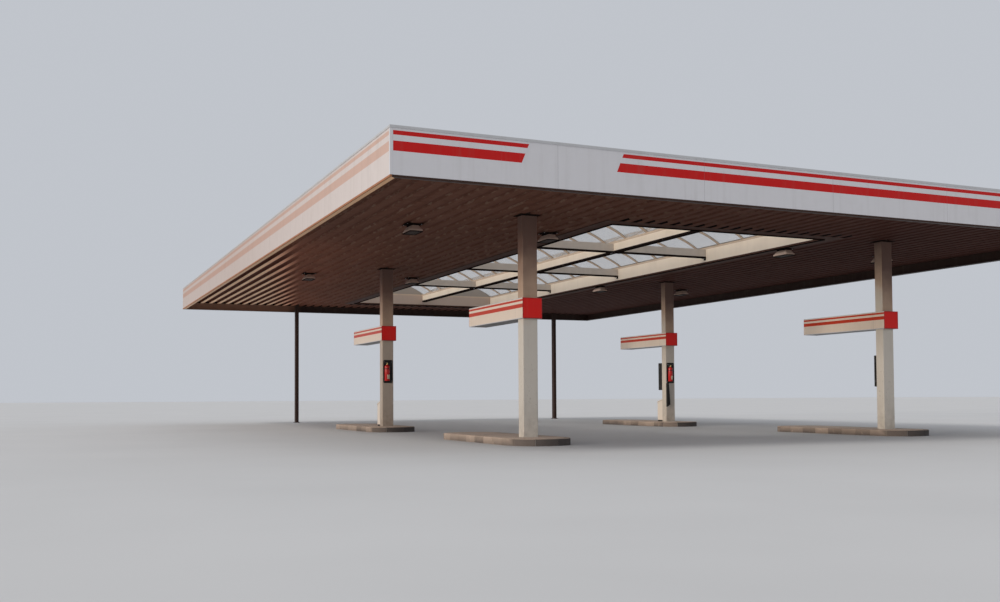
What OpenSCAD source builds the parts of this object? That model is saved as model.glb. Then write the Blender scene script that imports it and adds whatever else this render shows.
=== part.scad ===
// Filling station canopy: a flat roof on four columns and two rear posts, with a deep
// fascia, a trapezoidal sheet soffit and a glazed opening under two barrel vaults.
// Millimetres. X runs along the front, Y from front to rear, Z up; the ground is Z = 0
// and the origin lies under the middle of the roof.

/* [Roof outline] */
// Length of the roof along the front, over the fascia
roof_x = 18600; // [16000:100:24000]
// Depth of the roof from front to rear, over the fascia
roof_y = 27200; // [22000:100:32000]
// Height of the underside of the soffit above the ground
soffit_z = 4900; // [4200:50:5600]
// Height of the fascia, coping included
fascia_h = 855; // [500:5:1200]
// How far the fascia hangs below the soffit
fascia_drop = 260; // [100:10:400]
// Thickness of a fascia panel
fascia_t = 60; // [40:5:120]
// Width of the fold under the fascia's lower edge
return_w = 120; // [80:5:200]
// Thickness of that fold
return_t = 25; // [15:1:40]
// Height of the coping on the fascia's upper edge
coping_h = 30; // [20:1:60]
// How far the coping stands proud on the inner side
coping_lip = 25; // [10:1:50]

/* [Sheets] */
// Pitch of the ribs in the soffit and deck sheets
rib_pitch = 333; // [200:1:400]
// Depth of those ribs
rib_h = 40; // [25:1:60]
// Width of the flat between two ribs
rib_flat = 190; // [100:1:240]
// Width of each sloping side of a rib
rib_slope = 30; // [10:1:50]
// Thickness of the sheet
sheet_t = 2; // [1:0.5:4]
// Gap between the soffit's cut-outs and what passes through them
cutout_gap = 15; // [5:1:40]

/* [Columns] */
// Distance from each side face of the roof to the line of columns
side_overhang = 4300; // [3000:50:5000]
// Distance from the roof's front face to the front row of columns
front_overhang = 3800; // [2500:50:5000]
// Distance between the two rows of columns
row_pitch = 9900; // [8000:50:11000]
// Width of a column, along the front
column_w = 350; // [200:5:500]
// Depth of a column, front to rear
column_d = 250; // [200:5:400]
// Wall of the column's hollow section
column_wall = 10; // [6:1:16]
// Outer corner radius of the hollow section
column_r = 20; // [12:1:30]
// Margin of a column's head plate and of a post's foot plate round the section
plate_margin = 35; // [20:5:80]
// Thickness of those plates
plate_t = 20; // [10:1:30]

/* [Rear posts] */
// How far the left rear post stands inwards of the left line of columns
post_left_in = 250; // [0:50:1500]
// How far the right rear post stands outwards of the right line of columns
post_right_out = 2300; // [0:50:3500]
// Distance of the posts and of their beam from the roof's rear face
post_inset = 400; // [300:10:1500]
// Width of a rear post
post_w = 130; // [100:5:250]
// Depth of a rear post
post_d = 230; // [100:5:300]

/* [Roof frame] */
// Depth of the girders between the soffit and the deck
girder_h = 300; // [200:10:360]
// Width of the girders' flanges
girder_w = 200; // [120:10:300]
// Thickness of the flanges
flange_t = 16; // [10:1:24]
// Thickness of the webs
web_t = 12; // [8:1:20]

/* [Roof opening] */
// Distance from the left line of columns to the opening's left edge
open_margin_left = 2250; // [1200:10:3000]
// Distance from the right line of columns to the opening's right edge
open_margin_right = 1680; // [1600:10:3000]
// Distance from the front row of columns to the opening's front edge
open_behind = 250; // [200:10:1500]
// Distance from the opening's rear edge to the roof's rear face
open_rear_margin = 2120; // [1000:10:4000]
// Height of the kerb beams that stand on the soffit sheets round the opening
kerb_h = 370; // [345:5:560]
// Thickness of the kerb beams
kerb_t = 70; // [50:5:120]
// Depth of the beams that cross the opening
beam_h = 250; // [120:10:300]
// Width of the beam down the middle of the opening
middle_w = 160; // [100:10:240]
// Width of the cross beams
cross_w = 120; // [80:10:200]
// Distance between the cross beams, and from the front edge to the first
cross_pitch = 5060; // [4500:10:5600]

/* [Barrel vaults] */
// Width of the sill rails that carry the vaults
sill_w = 60; // [40:5:100]
// Height of those sill rails
sill_h = 60; // [40:5:120]
// Rise of a vault above its sills
vault_rise = 480; // [300:10:700]
// Number of bays between the vault ribs
vault_bays = 19; // [12:1:24]
// Width and depth of a vault rib
rib_bar = 40; // [30:2:80]
// Gap between the two vaults over the middle beam
vault_gap = 40; // [10:5:80]
// Thickness of the vault glazing
glazing_t = 10; // [6:1:16]

/* [Islands] */
// Width of an island
island_w = 1400; // [1390:10:1600]
// Length of an island from front to rear
island_l = 4900; // [3500:50:6500]
// How far an island reaches in front of its column's middle
island_ahead = 1100; // [600:10:1600]
// Height of an island
island_h = 150; // [100:5:200]
// Corner radius of an island
island_r = 680; // [150:10:690]
// Rounded upper edge of an island
island_edge = 20; // [10:1:40]

/* [Sign boxes] */
// Width of a sign box
sign_w = 455; // [400:5:600]
// Height of a sign box
sign_h = 435; // [300:10:600]
// Length of a sign box
sign_l = 2980; // [1500:10:3600]
// How far a sign box stands in front of its column
sign_ahead = 105; // [15:5:150]
// Height of a front sign box's underside above the ground
sign_z = 2670; // [2300:10:3200]
// How much higher the sign boxes of the middle row hang
sign_step = 50; // [0:10:150]

/* [Lamps] */
// How far outside its line of columns the middle of a pair of lamps lies
lamp_pair_out = 200; // [100:50:600]
// Distance between the two lamps of a pair
lamp_spacing = 3400; // [3000:50:3600]
// Distance of a lamp behind its column's middle
lamp_back = 2000; // [1200:50:3000]
// Width of a lamp's lower rim, along the front
lamp_w = 320; // [200:10:450]
// Depth of that rim, front to rear
lamp_d = 560; // [300:10:700]
// Height of that rim
lamp_rim = 20; // [10:1:40]
// Height of the lamp's flared body
lamp_h = 150; // [80:5:250]
// How far each side of the body slopes inwards
lamp_flare = 70; // [20:5:90]
// Height of the box that holds the lamp under the soffit
lamp_neck = 40; // [30:5:150]
// Thickness of the plate that fixes this box under the soffit's flats
lamp_plate_t = 10; // [6:1:20]

/* [Fittings on the columns] */
// Diameter of a fire extinguisher
bottle_d = 150; // [110:5:190]
// Height of its straight body
bottle_h = 430; // [300:10:600]
// Height of its foot above the ground
bottle_z = 1510; // [1200:10:1700]
// How far the bottle stands to the side of its board's middle, left is negative
bottle_shift = -40; // [-60:5:60]
// Width of the board behind it
board_w = 290; // [200:10:350]
// Height of that board
board_h = 690; // [400:10:900]
// Thickness of that board
board_t = 12; // [8:1:20]
// Height of the narrow wiper holder's lower tip above the ground
holder_z = 650; // [500:10:900]
// Width of that holder at its lower end
holder_w = 130; // [80:5:160]
// Depth of that holder
holder_d = 60; // [40:5:100]
// Width of a wall box behind a right hand column
wall_box_w = 290; // [200:10:350]
// Depth of the wall box of the front row
front_box_d = 110; // [80:5:200]
// Height of that box
front_box_h = 790; // [400:10:1000]
// Depth of the wall box of the middle row
middle_box_d = 270; // [80:5:300]
// Height of that box
middle_box_h = 920; // [400:10:1000]
// Height of both wall boxes' undersides above the ground
wall_box_z = 1220; // [1000:10:1400]
// Width of the service box behind a middle column
foot_box_w = 320; // [200:10:400]
// Depth of that box
foot_box_d = 340; // [200:10:400]
// Height of that box at the column
foot_box_h = 770; // [500:10:900]
// Fall of its sloping lid
foot_box_fall = 90; // [40:5:200]

/* [Hidden] */
fascia_z = soffit_z - fascia_drop;
fascia_top = fascia_z + fascia_h;
girder_z = soffit_z + rib_h;
deck_z = girder_z + girder_h;
kerb_top = girder_z + kerb_h;
sill_top = kerb_top + sill_h;
inner_x = roof_x / 2 - fascia_t;
inner_y = roof_y / 2 - fascia_t;
column_x = roof_x / 2 - side_overhang;
front_row_y = front_overhang - roof_y / 2;
middle_row_y = front_row_y + row_pitch;
post_left_x = post_left_in - column_x;
post_right_x = column_x + post_right_out;
post_y = roof_y / 2 - post_inset;
lamp_pair_x = column_x + lamp_pair_out;
open_left = open_margin_left - column_x;
open_right = column_x - open_margin_right;
open_front = front_row_y + open_behind;
open_rear = roof_y / 2 - open_rear_margin;
open_mid = (open_left + open_right) / 2;
vault_start = open_front - kerb_t;
vault_y = open_rear + kerb_t - vault_start;
rib_top = rib_pitch - rib_flat - 2 * rib_slope;
vault_span = (open_right - open_left - vault_gap) / 2 + kerb_t;
vault_left_x = open_left - kerb_t + vault_span / 2;
vault_right_x = open_right + kerb_t - vault_span / 2;
vault_r = (pow(vault_span / 2, 2) + pow(vault_rise, 2)) / (2 * vault_rise);
vault_half = asin(vault_span / 2 / vault_r);
vault_step = (vault_y - rib_bar) / vault_bays;

white = [0.86, 0.87, 0.89];
cream = [0.80, 0.80, 0.76];
brown = [0.20, 0.13, 0.11];
steel = [0.45, 0.46, 0.48];
sheet_grey = [0.55, 0.57, 0.58];
concrete = [0.62, 0.60, 0.56];
clear = [0.80, 0.88, 0.92, 0.5];
red = [0.70, 0.06, 0.06];
black = [0.10, 0.10, 0.11];

// A rectangle with rounded corners, centred
module rounded(w, d, r) {
  square([w - 2 * r, d], center = true);
  square([w, d - 2 * r], center = true);
  for (x = [-1, 1], y = [-1, 1])
    translate([x * (w / 2 - r), y * (d / 2 - r)]) circle(r = r, $fn = 32);
}

// A box given by its lowest and highest corners
module box(lo, hi) {
  translate(lo) cube(hi - lo);
}

// One island: a low concrete plinth with rounded ends and a softened upper edge
module island(x, y) {
  color(concrete)
    translate([x, y + island_l / 2 - island_ahead, 0])
      hull() {
        linear_extrude(island_h - island_edge) rounded(island_w, island_l, island_r);
        linear_extrude(island_h)
          rounded(island_w - 2 * island_edge, island_l - 2 * island_edge,
                  island_r - island_edge);
      }
}

// One column: a hollow section that stands on the island and ends in a head plate
module column(x, y) {
  color(cream) translate([x, y, 0]) {
    translate([0, 0, island_h])
      linear_extrude(girder_z - plate_t - island_h)
        difference() {
          rounded(column_w, column_d, column_r);
          rounded(column_w - 2 * column_wall, column_d - 2 * column_wall,
                  column_r - column_wall);
        }
    translate([0, 0, girder_z - plate_t])
      linear_extrude(plate_t)
        square([column_w + 2 * plate_margin, column_d + 2 * plate_margin], center = true);
  }
}

// One slim rear post on its own foot plate
module rear_post(x) {
  color(cream) translate([x, post_y, 0]) {
    linear_extrude(plate_t)
      square([post_w + 2 * plate_margin, post_d + 2 * plate_margin], center = true);
    translate([0, 0, plate_t])
      linear_extrude(girder_z - plate_t)
        difference() {
          rounded(post_w, post_d, column_r);
          rounded(post_w - 2 * column_wall, post_d - 2 * column_wall,
                  column_r - column_wall);
        }
  }
}

// A long box that closes round its column and reaches rearwards from it, z its height
module sign_box(x, y, z) {
  color(white)
    translate([x, y - column_d / 2 - sign_ahead, z])
      difference() {
        translate([-sign_w / 2, 0, 0]) cube([sign_w, sign_l, sign_h]);
        translate([0, sign_ahead + column_d / 2, -1])
          linear_extrude(sign_h + 2) rounded(column_w, column_d, column_r);
      }
}

// A fire extinguisher on its board, on the front face of a column
module extinguisher(x, y) {
  face_y = y - column_d / 2;
  bottle_x = x + bottle_shift;
  bottle_y = face_y - board_t - bottle_d / 2;
  color(black)
    box([x - board_w / 2, face_y - board_t, bottle_z - 60],
        [x + board_w / 2, face_y, bottle_z - 60 + board_h]);
  color(red) translate([bottle_x, bottle_y, bottle_z])
    rotate_extrude($fn = 40) bottle_profile();
  // hook that ties the bottle's neck to the board
  color(black)
    box([bottle_x - 12, bottle_y, bottle_z + bottle_h + 40],
        [bottle_x + 12, face_y - board_t, bottle_z + bottle_h + 60]);
}

module extinguisher_left() { extinguisher(-column_x, middle_row_y); }

module extinguisher_right() {
  extinguisher(column_x, middle_row_y);
  wiper_holder(column_x, middle_row_y);
}

// A narrow holder that hangs under the board, at the left edge of the column's face. It
// widens downwards and ends in a slant.
module wiper_holder(x, y) {
  left = -column_w / 2 + 5;
  top = bottle_z - 60;
  color(black)
    translate([x, y - column_d / 2, 0])
      rotate([90, 0, 0])
        linear_extrude(holder_d)
          polygon([[left, holder_z], [left + holder_w, holder_z + 80],
                   [left + 0.6 * holder_w, top], [left, top]]);
}

// Half outline of the bottle: body, shoulder, neck and valve
module bottle_profile() {
  r = bottle_d / 2;
  polygon(concat(
    [[0, 0], [r - 8, 0], [r, 8], [r, bottle_h]],
    [for (a = [15 : 15 : 75]) [20 + (r - 20) * cos(a), bottle_h + 40 * sin(a)]],
    [[20, bottle_h + 40], [20, bottle_h + 95], [0, bottle_h + 95]]));
}

// A closed box of depth d and height h, hung on the rear face of a right hand column
module wall_box(y, d, h) {
  face_y = y + column_d / 2;
  color(black)
    box([column_x - wall_box_w / 2, face_y, wall_box_z],
        [column_x + wall_box_w / 2, face_y + d, wall_box_z + h]);
}

// A service box with a sloping lid, standing on the island behind a column
module foot_box(x, y) {
  color(white)
    translate([x - foot_box_w / 2, y + column_d / 2, island_h])
      rotate([90, 0, 90])
        linear_extrude(foot_box_w)
          polygon([[0, 0], [foot_box_d, 0], [foot_box_d, foot_box_h - foot_box_fall],
                   [0, foot_box_h]]);
}

// Outline of a rolled girder, standing on its lower flange
module girder_outline(h, w) {
  translate([-w / 2, 0]) square([w, flange_t]);
  translate([-w / 2, h - flange_t]) square([w, flange_t]);
  translate([-web_t / 2, 0]) square([web_t, h]);
}

// A main girder over one line of columns, from the front to the rear beam
module girder(x) {
  start = -inner_y;
  end = post_y - girder_w / 2;
  color(steel)
    translate([x, end, girder_z])
      rotate([90, 0, 0]) linear_extrude(end - start) girder_outline(girder_h, girder_w);
}

// The beam over the rear posts, which carries the girders' rear ends
module rear_beam() {
  color(steel)
    translate([-inner_x, post_y, girder_z])
      rotate([90, 0, 90]) linear_extrude(2 * inner_x) girder_outline(girder_h, girder_w);
}

// Cross-section of a trapezoidal sheet over a width, flats low and ribs high
module sheet_outline(x0, x1) {
  first = floor(x0 / rib_pitch) - 1;
  last = ceil(x1 / rib_pitch) + 1;
  low = [for (i = [first : last], p = [
    [0, 0], [rib_flat, 0], [rib_flat + rib_slope, rib_h - sheet_t],
    [rib_flat + rib_slope + rib_top, rib_h - sheet_t]]) [i * rib_pitch + p[0], p[1]]];
  count = len(low);
  intersection() {
    polygon(concat(low, [for (i = [count - 1 : -1 : 0]) low[i] + [0, sheet_t]]));
    translate([x0, -1]) square([x1 - x0, rib_h + 2]);
  }
}

// A trapezoidal sheet over a rectangle, ribs running from front to rear
module sheet(x0, x1, y0, y1, z) {
  translate([0, y1, z])
    rotate([90, 0, 0]) linear_extrude(y1 - y0) sheet_outline(x0, x1);
}

// Holes in the soffit where the columns' head plates come through
module column_cutouts() {
  w = column_w + 2 * (plate_margin + cutout_gap);
  d = column_d + 2 * (plate_margin + cutout_gap);
  for (x = [-column_x, column_x], y = [front_row_y, middle_row_y])
    translate([x - w / 2, y - d / 2, soffit_z - 1]) cube([w, d, rib_h + 2]);
}

// Holes in the soffit where the rear posts come through
module post_cutouts() {
  w = post_w + 2 * cutout_gap;
  d = post_d + 2 * cutout_gap;
  for (x = [post_left_x, post_right_x])
    translate([x - w / 2, post_y - d / 2, soffit_z - 1]) cube([w, d, rib_h + 2]);
}

module soffit(x0, x1, y0, y1) {
  color(brown)
    difference() {
      sheet(x0, x1, y0, y1, soffit_z);
      column_cutouts();
      post_cutouts();
    }
}

module soffit_front() { soffit(-inner_x, inner_x, -inner_y, open_front); }
module soffit_rear() { soffit(-inner_x, inner_x, open_rear, inner_y); }
module soffit_left() { soffit(-inner_x, open_left, open_front, open_rear); }
module soffit_right() { soffit(open_right, inner_x, open_front, open_rear); }

// The roof sheets on the girders, cut out round the kerb
module roof_deck() {
  color(sheet_grey)
    difference() {
      sheet(-inner_x, inner_x, -inner_y, inner_y, deck_z);
      box([open_left - kerb_t, open_front - kerb_t, deck_z - 1],
          [open_right + kerb_t, open_rear + kerb_t, deck_z + rib_h + 1]);
    }
}

// A flat rectangular ring of width w under the fascia's outline
module outline_ring(w) {
  difference() {
    square([roof_x, roof_y], center = true);
    square([roof_x - 2 * w, roof_y - 2 * w], center = true);
  }
}

// The whole fascia: a panel, a fold under it and a coping on it
module fascia_ring() {
  translate([0, 0, fascia_z]) linear_extrude(return_t) outline_ring(return_w);
  translate([0, 0, fascia_z + return_t])
    linear_extrude(fascia_h - return_t - coping_h) outline_ring(fascia_t);
  translate([0, 0, fascia_top - coping_h])
    linear_extrude(coping_h) outline_ring(fascia_t + coping_lip);
}

// One side of the fascia, mitred at 45 degrees at the corners. The side is given by its
// outward direction, and half and depth are half its length and its distance out.
module fascia_side(turn, half, out) {
  reach = return_w + coping_lip;
  color(white)
    intersection() {
      fascia_ring();
      rotate([0, 0, turn])
        translate([0, 0, fascia_z - 1])
          linear_extrude(fascia_h + 2)
            polygon([[-half - 1, -out - 1], [half + 1, -out - 1],
                     [half - reach, -out + reach], [-half + reach, -out + reach]]);
    }
}

module fascia_front() { fascia_side(0, roof_x / 2, roof_y / 2); }
module fascia_rear() { fascia_side(180, roof_x / 2, roof_y / 2); }
module fascia_left() { fascia_side(-90, roof_y / 2, roof_x / 2); }
module fascia_right() { fascia_side(90, roof_y / 2, roof_x / 2); }

// Kerb beams round the opening, from the soffit sheets to the vaults' sills
module kerb() {
  color(white)
    difference() {
      box([open_left - kerb_t, open_front - kerb_t, girder_z],
          [open_right + kerb_t, open_rear + kerb_t, kerb_top]);
      box([open_left, open_front, girder_z - 1], [open_right, open_rear, kerb_top + 1]);
    }
}

// The beam down the middle of the opening
module middle_beam() {
  color(white)
    box([open_mid - middle_w / 2, open_front, kerb_top - beam_h],
        [open_mid + middle_w / 2, open_rear, kerb_top]);
}

// A cross beam, in two lengths that meet the middle beam
module cross_beam(i) {
  y = open_front + (i + 1) * cross_pitch;
  color(white) {
    box([open_left, y - cross_w / 2, kerb_top - beam_h],
        [open_mid - middle_w / 2, y + cross_w / 2, kerb_top]);
    box([open_mid + middle_w / 2, y - cross_w / 2, kerb_top - beam_h],
        [open_right, y + cross_w / 2, kerb_top]);
  }
}

// An arched band over one vault, cut level with the sills: r is its outer radius and
// t its thickness
module arch_outline(r, t) {
  steps = 24;
  outer = [for (i = [0 : steps]) -vault_half + 2 * vault_half * i / steps];
  drop = vault_r * cos(vault_half);
  intersection() {
    polygon(concat([for (a = outer) [r * sin(a), r * cos(a) - drop]],
                   [for (i = [steps : -1 : 0])
                      [(r - t) * sin(outer[i]), (r - t) * cos(outer[i]) - drop]]));
    translate([-vault_span, 0]) square([2 * vault_span, 2 * vault_rise]);
  }
}

// The segment that closes the end of a vault
module end_outline() {
  steps = 24;
  drop = vault_r * cos(vault_half);
  polygon([for (i = [0 : steps]) let (a = -vault_half + 2 * vault_half * i / steps)
             [vault_r * sin(a), vault_r * cos(a) - drop]]);
}

// Sill rails of both vaults, on the kerb and on the middle beam
module sill_rails() {
  color(white)
    for (x = [vault_left_x, vault_right_x])
      translate([x, vault_start + vault_y / 2, kerb_top])
        linear_extrude(sill_h)
          difference() {
            square([vault_span, vault_y], center = true);
            square([vault_span - 2 * sill_w, vault_y - 2 * sill_w], center = true);
          }
}

// Arched ribs of one vault, over the middle line x, between its two ends
module vault_ribs(x) {
  color(white)
    for (i = [1 : vault_bays - 1])
      translate([x, vault_start + i * vault_step + rib_bar, sill_top])
        rotate([90, 0, 0]) linear_extrude(rib_bar) arch_outline(vault_r, rib_bar);
}

// The curved glazing of one vault, with the panels that close its two ends
module vault_glazing(x) {
  color(clear)
    translate([x, vault_start, sill_top]) {
      translate([0, vault_y, 0]) rotate([90, 0, 0])
        linear_extrude(vault_y) arch_outline(vault_r + glazing_t, glazing_t);
      for (y = [rib_bar, vault_y])
        translate([0, y, 0]) rotate([90, 0, 0]) linear_extrude(rib_bar) end_outline();
    }
}

// The pair of lamps that belongs to one column. Each hangs from a plate that is wider
// than a rib, so that it bears on the soffit's flats wherever it stands.
module lamps(x, y) {
  for (s = [-1, 1])
    translate([x + s * lamp_spacing / 2, y + lamp_back, 0]) lamp();
}

// One lamp: a fixing plate, a plain box, a body that flares downwards and a rim
module lamp() {
  plate_z = soffit_z - lamp_plate_t;
  body_z = plate_z - lamp_neck - lamp_h;
  top_w = lamp_w - 2 * lamp_flare;
  top_d = lamp_d - 2 * lamp_flare;
  color(black) {
    translate([0, 0, plate_z])
      linear_extrude(lamp_plate_t) square([rib_pitch + 60, top_d - 40], center = true);
    translate([0, 0, plate_z - lamp_neck])
      linear_extrude(lamp_neck) square([top_w - 20, top_d - 60], center = true);
    translate([0, 0, body_z]) linear_extrude(lamp_rim) rounded(lamp_w, lamp_d, 30);
  }
  color(white)
    hull() {
      translate([0, 0, body_z + lamp_rim])
        linear_extrude(1) rounded(lamp_w - 20, lamp_d - 20, 20);
      translate([0, 0, body_z + lamp_h - 1]) linear_extrude(1) rounded(top_w, top_d, 20);
    }
}

island(-column_x, front_row_y);  // island_front_left
island(column_x, front_row_y);  // island_front_right
island(-column_x, middle_row_y);  // island_middle_left
island(column_x, middle_row_y);  // island_middle_right
column(-column_x, front_row_y);  // column_front_left
column(column_x, front_row_y);  // column_front_right
column(-column_x, middle_row_y);  // column_middle_left
column(column_x, middle_row_y);  // column_middle_right
rear_post(post_left_x);  // rear_post_left
rear_post(post_right_x);  // rear_post_right
sign_box(-column_x, front_row_y, sign_z);  // sign_box_front_left
sign_box(column_x, front_row_y, sign_z);  // sign_box_front_right
sign_box(-column_x, middle_row_y, sign_z + sign_step);  // sign_box_middle_left
sign_box(column_x, middle_row_y, sign_z + sign_step);  // sign_box_middle_right
extinguisher_left();
extinguisher_right();
wall_box(front_row_y, front_box_d, front_box_h);  // wall_box_front
wall_box(middle_row_y, middle_box_d, middle_box_h);  // wall_box_middle
foot_box(-column_x, middle_row_y);  // foot_box_left
foot_box(column_x, middle_row_y);  // foot_box_right
girder(-column_x);  // girder_left
girder(column_x);  // girder_right
rear_beam();
soffit_front();
soffit_rear();
soffit_left();
soffit_right();
roof_deck();
fascia_front();
fascia_rear();
fascia_left();
fascia_right();
kerb();
middle_beam();
cross_beam(0);  // cross_beam_front
cross_beam(1);  // cross_beam_middle
cross_beam(2);  // cross_beam_rear
sill_rails();
vault_ribs(vault_left_x);  // vault_ribs_left
vault_ribs(vault_right_x);  // vault_ribs_right
vault_glazing(vault_left_x);  // vault_glazing_left
vault_glazing(vault_right_x);  // vault_glazing_right
lamps(-lamp_pair_x, front_row_y);  // lamps_front_left
lamps(lamp_pair_x, front_row_y);  // lamps_front_right
lamps(-lamp_pair_x, middle_row_y);  // lamps_middle_left
lamps(lamp_pair_x, middle_row_y);  // lamps_middle_right
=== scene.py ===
"""Finishes and fine parts of a filling station canopy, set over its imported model.

Lengths are metres and +Z is up. X runs along the front, Y from front to rear, and the
ground is Z = 0. Surfaces are worked out with numpy and every finish is a node material.
"""
import math
from functools import partialmethod

import bmesh
import bpy
import numpy as np
from mathutils import Matrix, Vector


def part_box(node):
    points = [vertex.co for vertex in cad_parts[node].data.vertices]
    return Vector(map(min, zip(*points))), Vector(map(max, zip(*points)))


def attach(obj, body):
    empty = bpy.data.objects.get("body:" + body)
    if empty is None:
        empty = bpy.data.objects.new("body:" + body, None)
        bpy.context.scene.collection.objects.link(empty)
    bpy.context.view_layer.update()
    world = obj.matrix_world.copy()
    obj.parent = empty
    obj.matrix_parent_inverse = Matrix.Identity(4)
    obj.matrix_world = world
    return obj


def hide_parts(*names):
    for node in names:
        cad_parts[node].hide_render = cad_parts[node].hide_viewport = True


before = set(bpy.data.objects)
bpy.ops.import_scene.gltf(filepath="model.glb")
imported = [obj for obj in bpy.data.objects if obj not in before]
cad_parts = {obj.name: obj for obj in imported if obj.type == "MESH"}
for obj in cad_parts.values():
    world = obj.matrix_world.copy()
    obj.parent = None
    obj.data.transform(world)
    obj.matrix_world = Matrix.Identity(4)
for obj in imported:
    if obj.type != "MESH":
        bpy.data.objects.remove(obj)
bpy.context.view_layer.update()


def corners(*nodes):
    """Lowest and highest corner of one CAD node, or of several together."""
    boxes = np.array([[list(corner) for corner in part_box(node)] for node in nodes])
    return boxes[:, 0].min(0), boxes[:, 1].max(0)


PLACES = ("front_left", "front_right", "middle_left", "middle_right")
CROSS_BEAMS = ("cross_beam_front", "cross_beam_middle", "cross_beam_rear")
# directions
LEFT, RIGHT = (-1.0, 0.0, 0.0), (1.0, 0.0, 0.0)
FRONT, REAR = (0.0, -1.0, 0.0), (0.0, 1.0, 0.0)
DOWN, UP = (0.0, 0.0, -1.0), (0.0, 0.0, 1.0)

ROOF_LO, ROOF_HI = corners("fascia_front", "fascia_rear", "fascia_left", "fascia_right")
SOFFIT_Z, RIB_TOP_Z = (corner[2] for corner in corners("soffit_front"))
DECK_Z, DECK_TOP_Z = (corner[2] for corner in corners("roof_deck"))
OPEN_LO = np.array([corners("soffit_left")[1][0], corners("soffit_front")[1][1]])
OPEN_HI = np.array([corners("soffit_right")[0][0], corners("soffit_rear")[0][1]])
KERB_LO, KERB_HI = corners("kerb")
SILL_LO, SILL_HI = corners("sill_rails")
ISLAND_Y = sum(corners("island_front_left"))[1] / 2
ISLAND_HALF_PITCH = (sum(corners("island_middle_left"))[1] / 2 - ISLAND_Y) / 2

# how far most trims stand off the solid they lie on
HAIR = 0.0005
# sizes that the boxes of the nodes don't give: the fascia with its coping and fold
PANEL_T = 0.06
FASCIA_PANEL = 3.1
COPING_W = 0.085
STRAP_W = 0.06
FOLD_W = 0.12
# the ribbed sheets, and the lining and plugs that close them
RIB_PITCH = 0.333
RIB_FLAT = 0.19
RIB_SLOPE = 0.03
SHEET_T = 0.002
SHEET_LAP = 6.0
SCREW_ROWS = 1.65
LINING_W = 0.35
PLUG_L = 0.28
# the vaults
VAULT_GAP = 0.04
VAULT_BAYS = 19
GLAZING_T = 0.01
RIB_BAR = 0.04
# columns and islands
COLUMN_PLAN = (0.35, 0.25)
COLLAR_W = 0.062
POST_PLATE_T = 0.020
ISLAND_R = 0.68
STONE_W = 0.12
STONE_L = 0.5
STONE_JOINT = 0.007
STONE_EASE = 0.024
# fittings
SIGN_CAP = 0.375
LAMP_HALF_X = 0.16
LAMP_FLARE = 0.07
LAMP_RIM_H = 0.020
BOARD_T = 0.012
BOTTLE_SHIFT = -0.05
BOTTLE_LIFT = 0.060
BOTTLE_R = 0.075
WALL_BOARD_Z = 1.45
LID_FALL = 0.09
LID_T = 0.030
PLINTH_H = 0.05

# shares of the fascia's and the sign boxes' height, from the top, taken by the bands
FASCIA_BANDS = (0.100, 0.185, 0.302, 0.498)
SIGN_BANDS = (0.065, 0.165, 0.285, 0.475)
# how far the bands stop short of the corners
BAND_END = 0.055
# the field on the front that the bands leave bare: its ends at one level, and its slant
BARE_FIELD = (-6.80, -4.893)
BARE_LEVEL = 5.32
BARE_SLANT = 0.42
# painted sunlight covers the soffit's left rear part up to this line, given as X = LIT_LINE_X +
# slant * Y
LIT_LINE_X = -7.8
LIT_LINE_SLANT = 0.225

# colours of the fascia
# WHITE and RED: the fascia's own colours, greyed a little as painted shade
WHITE = (0.62, 0.62, 0.65)
RED = (0.52, 0.010, 0.010)
# the left fascia's red and white: warm painted sunlight, the white greyed to offset the side lamps
LEFT_LIT_RED = (0.54, 0.375, 0.315)
LEFT_LIT_WHITE = (0.59, 0.54, 0.53)
# how the left fascia's colour darkens towards the rear
FASCIA_REAR_TINT = (0.76, 0.69, 0.65)
JOINT_GREY = (0.16, 0.16, 0.17)
FOLD_BROWN = (0.045, 0.025, 0.020)
# painted sunlight on the left fascia's fold
LEFT_FOLD_LIT = (0.78, 0.47, 0.26)
# painted sunlight on the fascia's inner face behind the soffit's lit part
LIT_INNER_FACE = (0.26, 0.14, 0.095)
# painted sunlight on the left drip edge
DRIP_LEFT_LIT = (0.36, 0.16, 0.08)
# colours of the soffit and the deck
BROWN = (0.14, 0.062, 0.042)
RIB_BROWN = (0.13, 0.058, 0.040)
SOFFIT_DUST = (0.19, 0.105, 0.078)
# painted highlights on the rib sides that face left
SOFFIT_GLINT = (0.30, 0.20, 0.15)
# painted shade that darkens the soffit towards the right
SOFFIT_SHADE = (0.046, 0.020, 0.021)
# painted warm light fading out beside the soffit's lit part
SOFFIT_LIT_FRINGE = (0.34, 0.12, 0.070)
SOFFIT_LAP = (0.014, 0.010, 0.010)
# painted sunlight on the soffit's left rear part: hollows, flats, and flats near its line
LIT_ZONE_HOLLOW = (0.085, 0.024, 0.013)
LIT_ZONE_FLAT = (0.96, 0.66, 0.45)
LIT_ZONE_EDGE = (0.88, 0.38, 0.24)
ZINC_DARK = (0.42, 0.44, 0.45)
ZINC_PALE = (0.60, 0.62, 0.63)
DECK_DIRT = (0.16, 0.145, 0.12)
SEAM_DARK = (0.10, 0.10, 0.10)
# colours of the columns, the kerb round the opening and the glazing
# CREAM is greyed a little as painted shade
CREAM = (0.655, 0.615, 0.55)
ROAD_FILM = (0.26, 0.23, 0.19)
# painted shade on the columns: deeper under the roof, and warm then dark towards the soffit
COLUMN_DEEP_SHADE = (0.71, 0.63, 0.58)
COLUMN_SHADE_WARM = (0.60, 0.43, 0.31)
COLUMN_SHADE_DARK = (0.155, 0.090, 0.070)
# the kerb's cream brightened as painted sunlight, and painted shade at its rear end
KERB_CREAM_LIT = (0.97, 0.84, 0.69)
KERB_REAR_SHADE = (0.56, 0.44, 0.365)
GLAZING_PALE = (0.71, 0.69, 0.655)
GLAZING_DUST = (0.60, 0.57, 0.53)
# painted shade on the vaults' upright end sheets
GLAZING_END_SHADE = (0.44, 0.385, 0.335)
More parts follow.
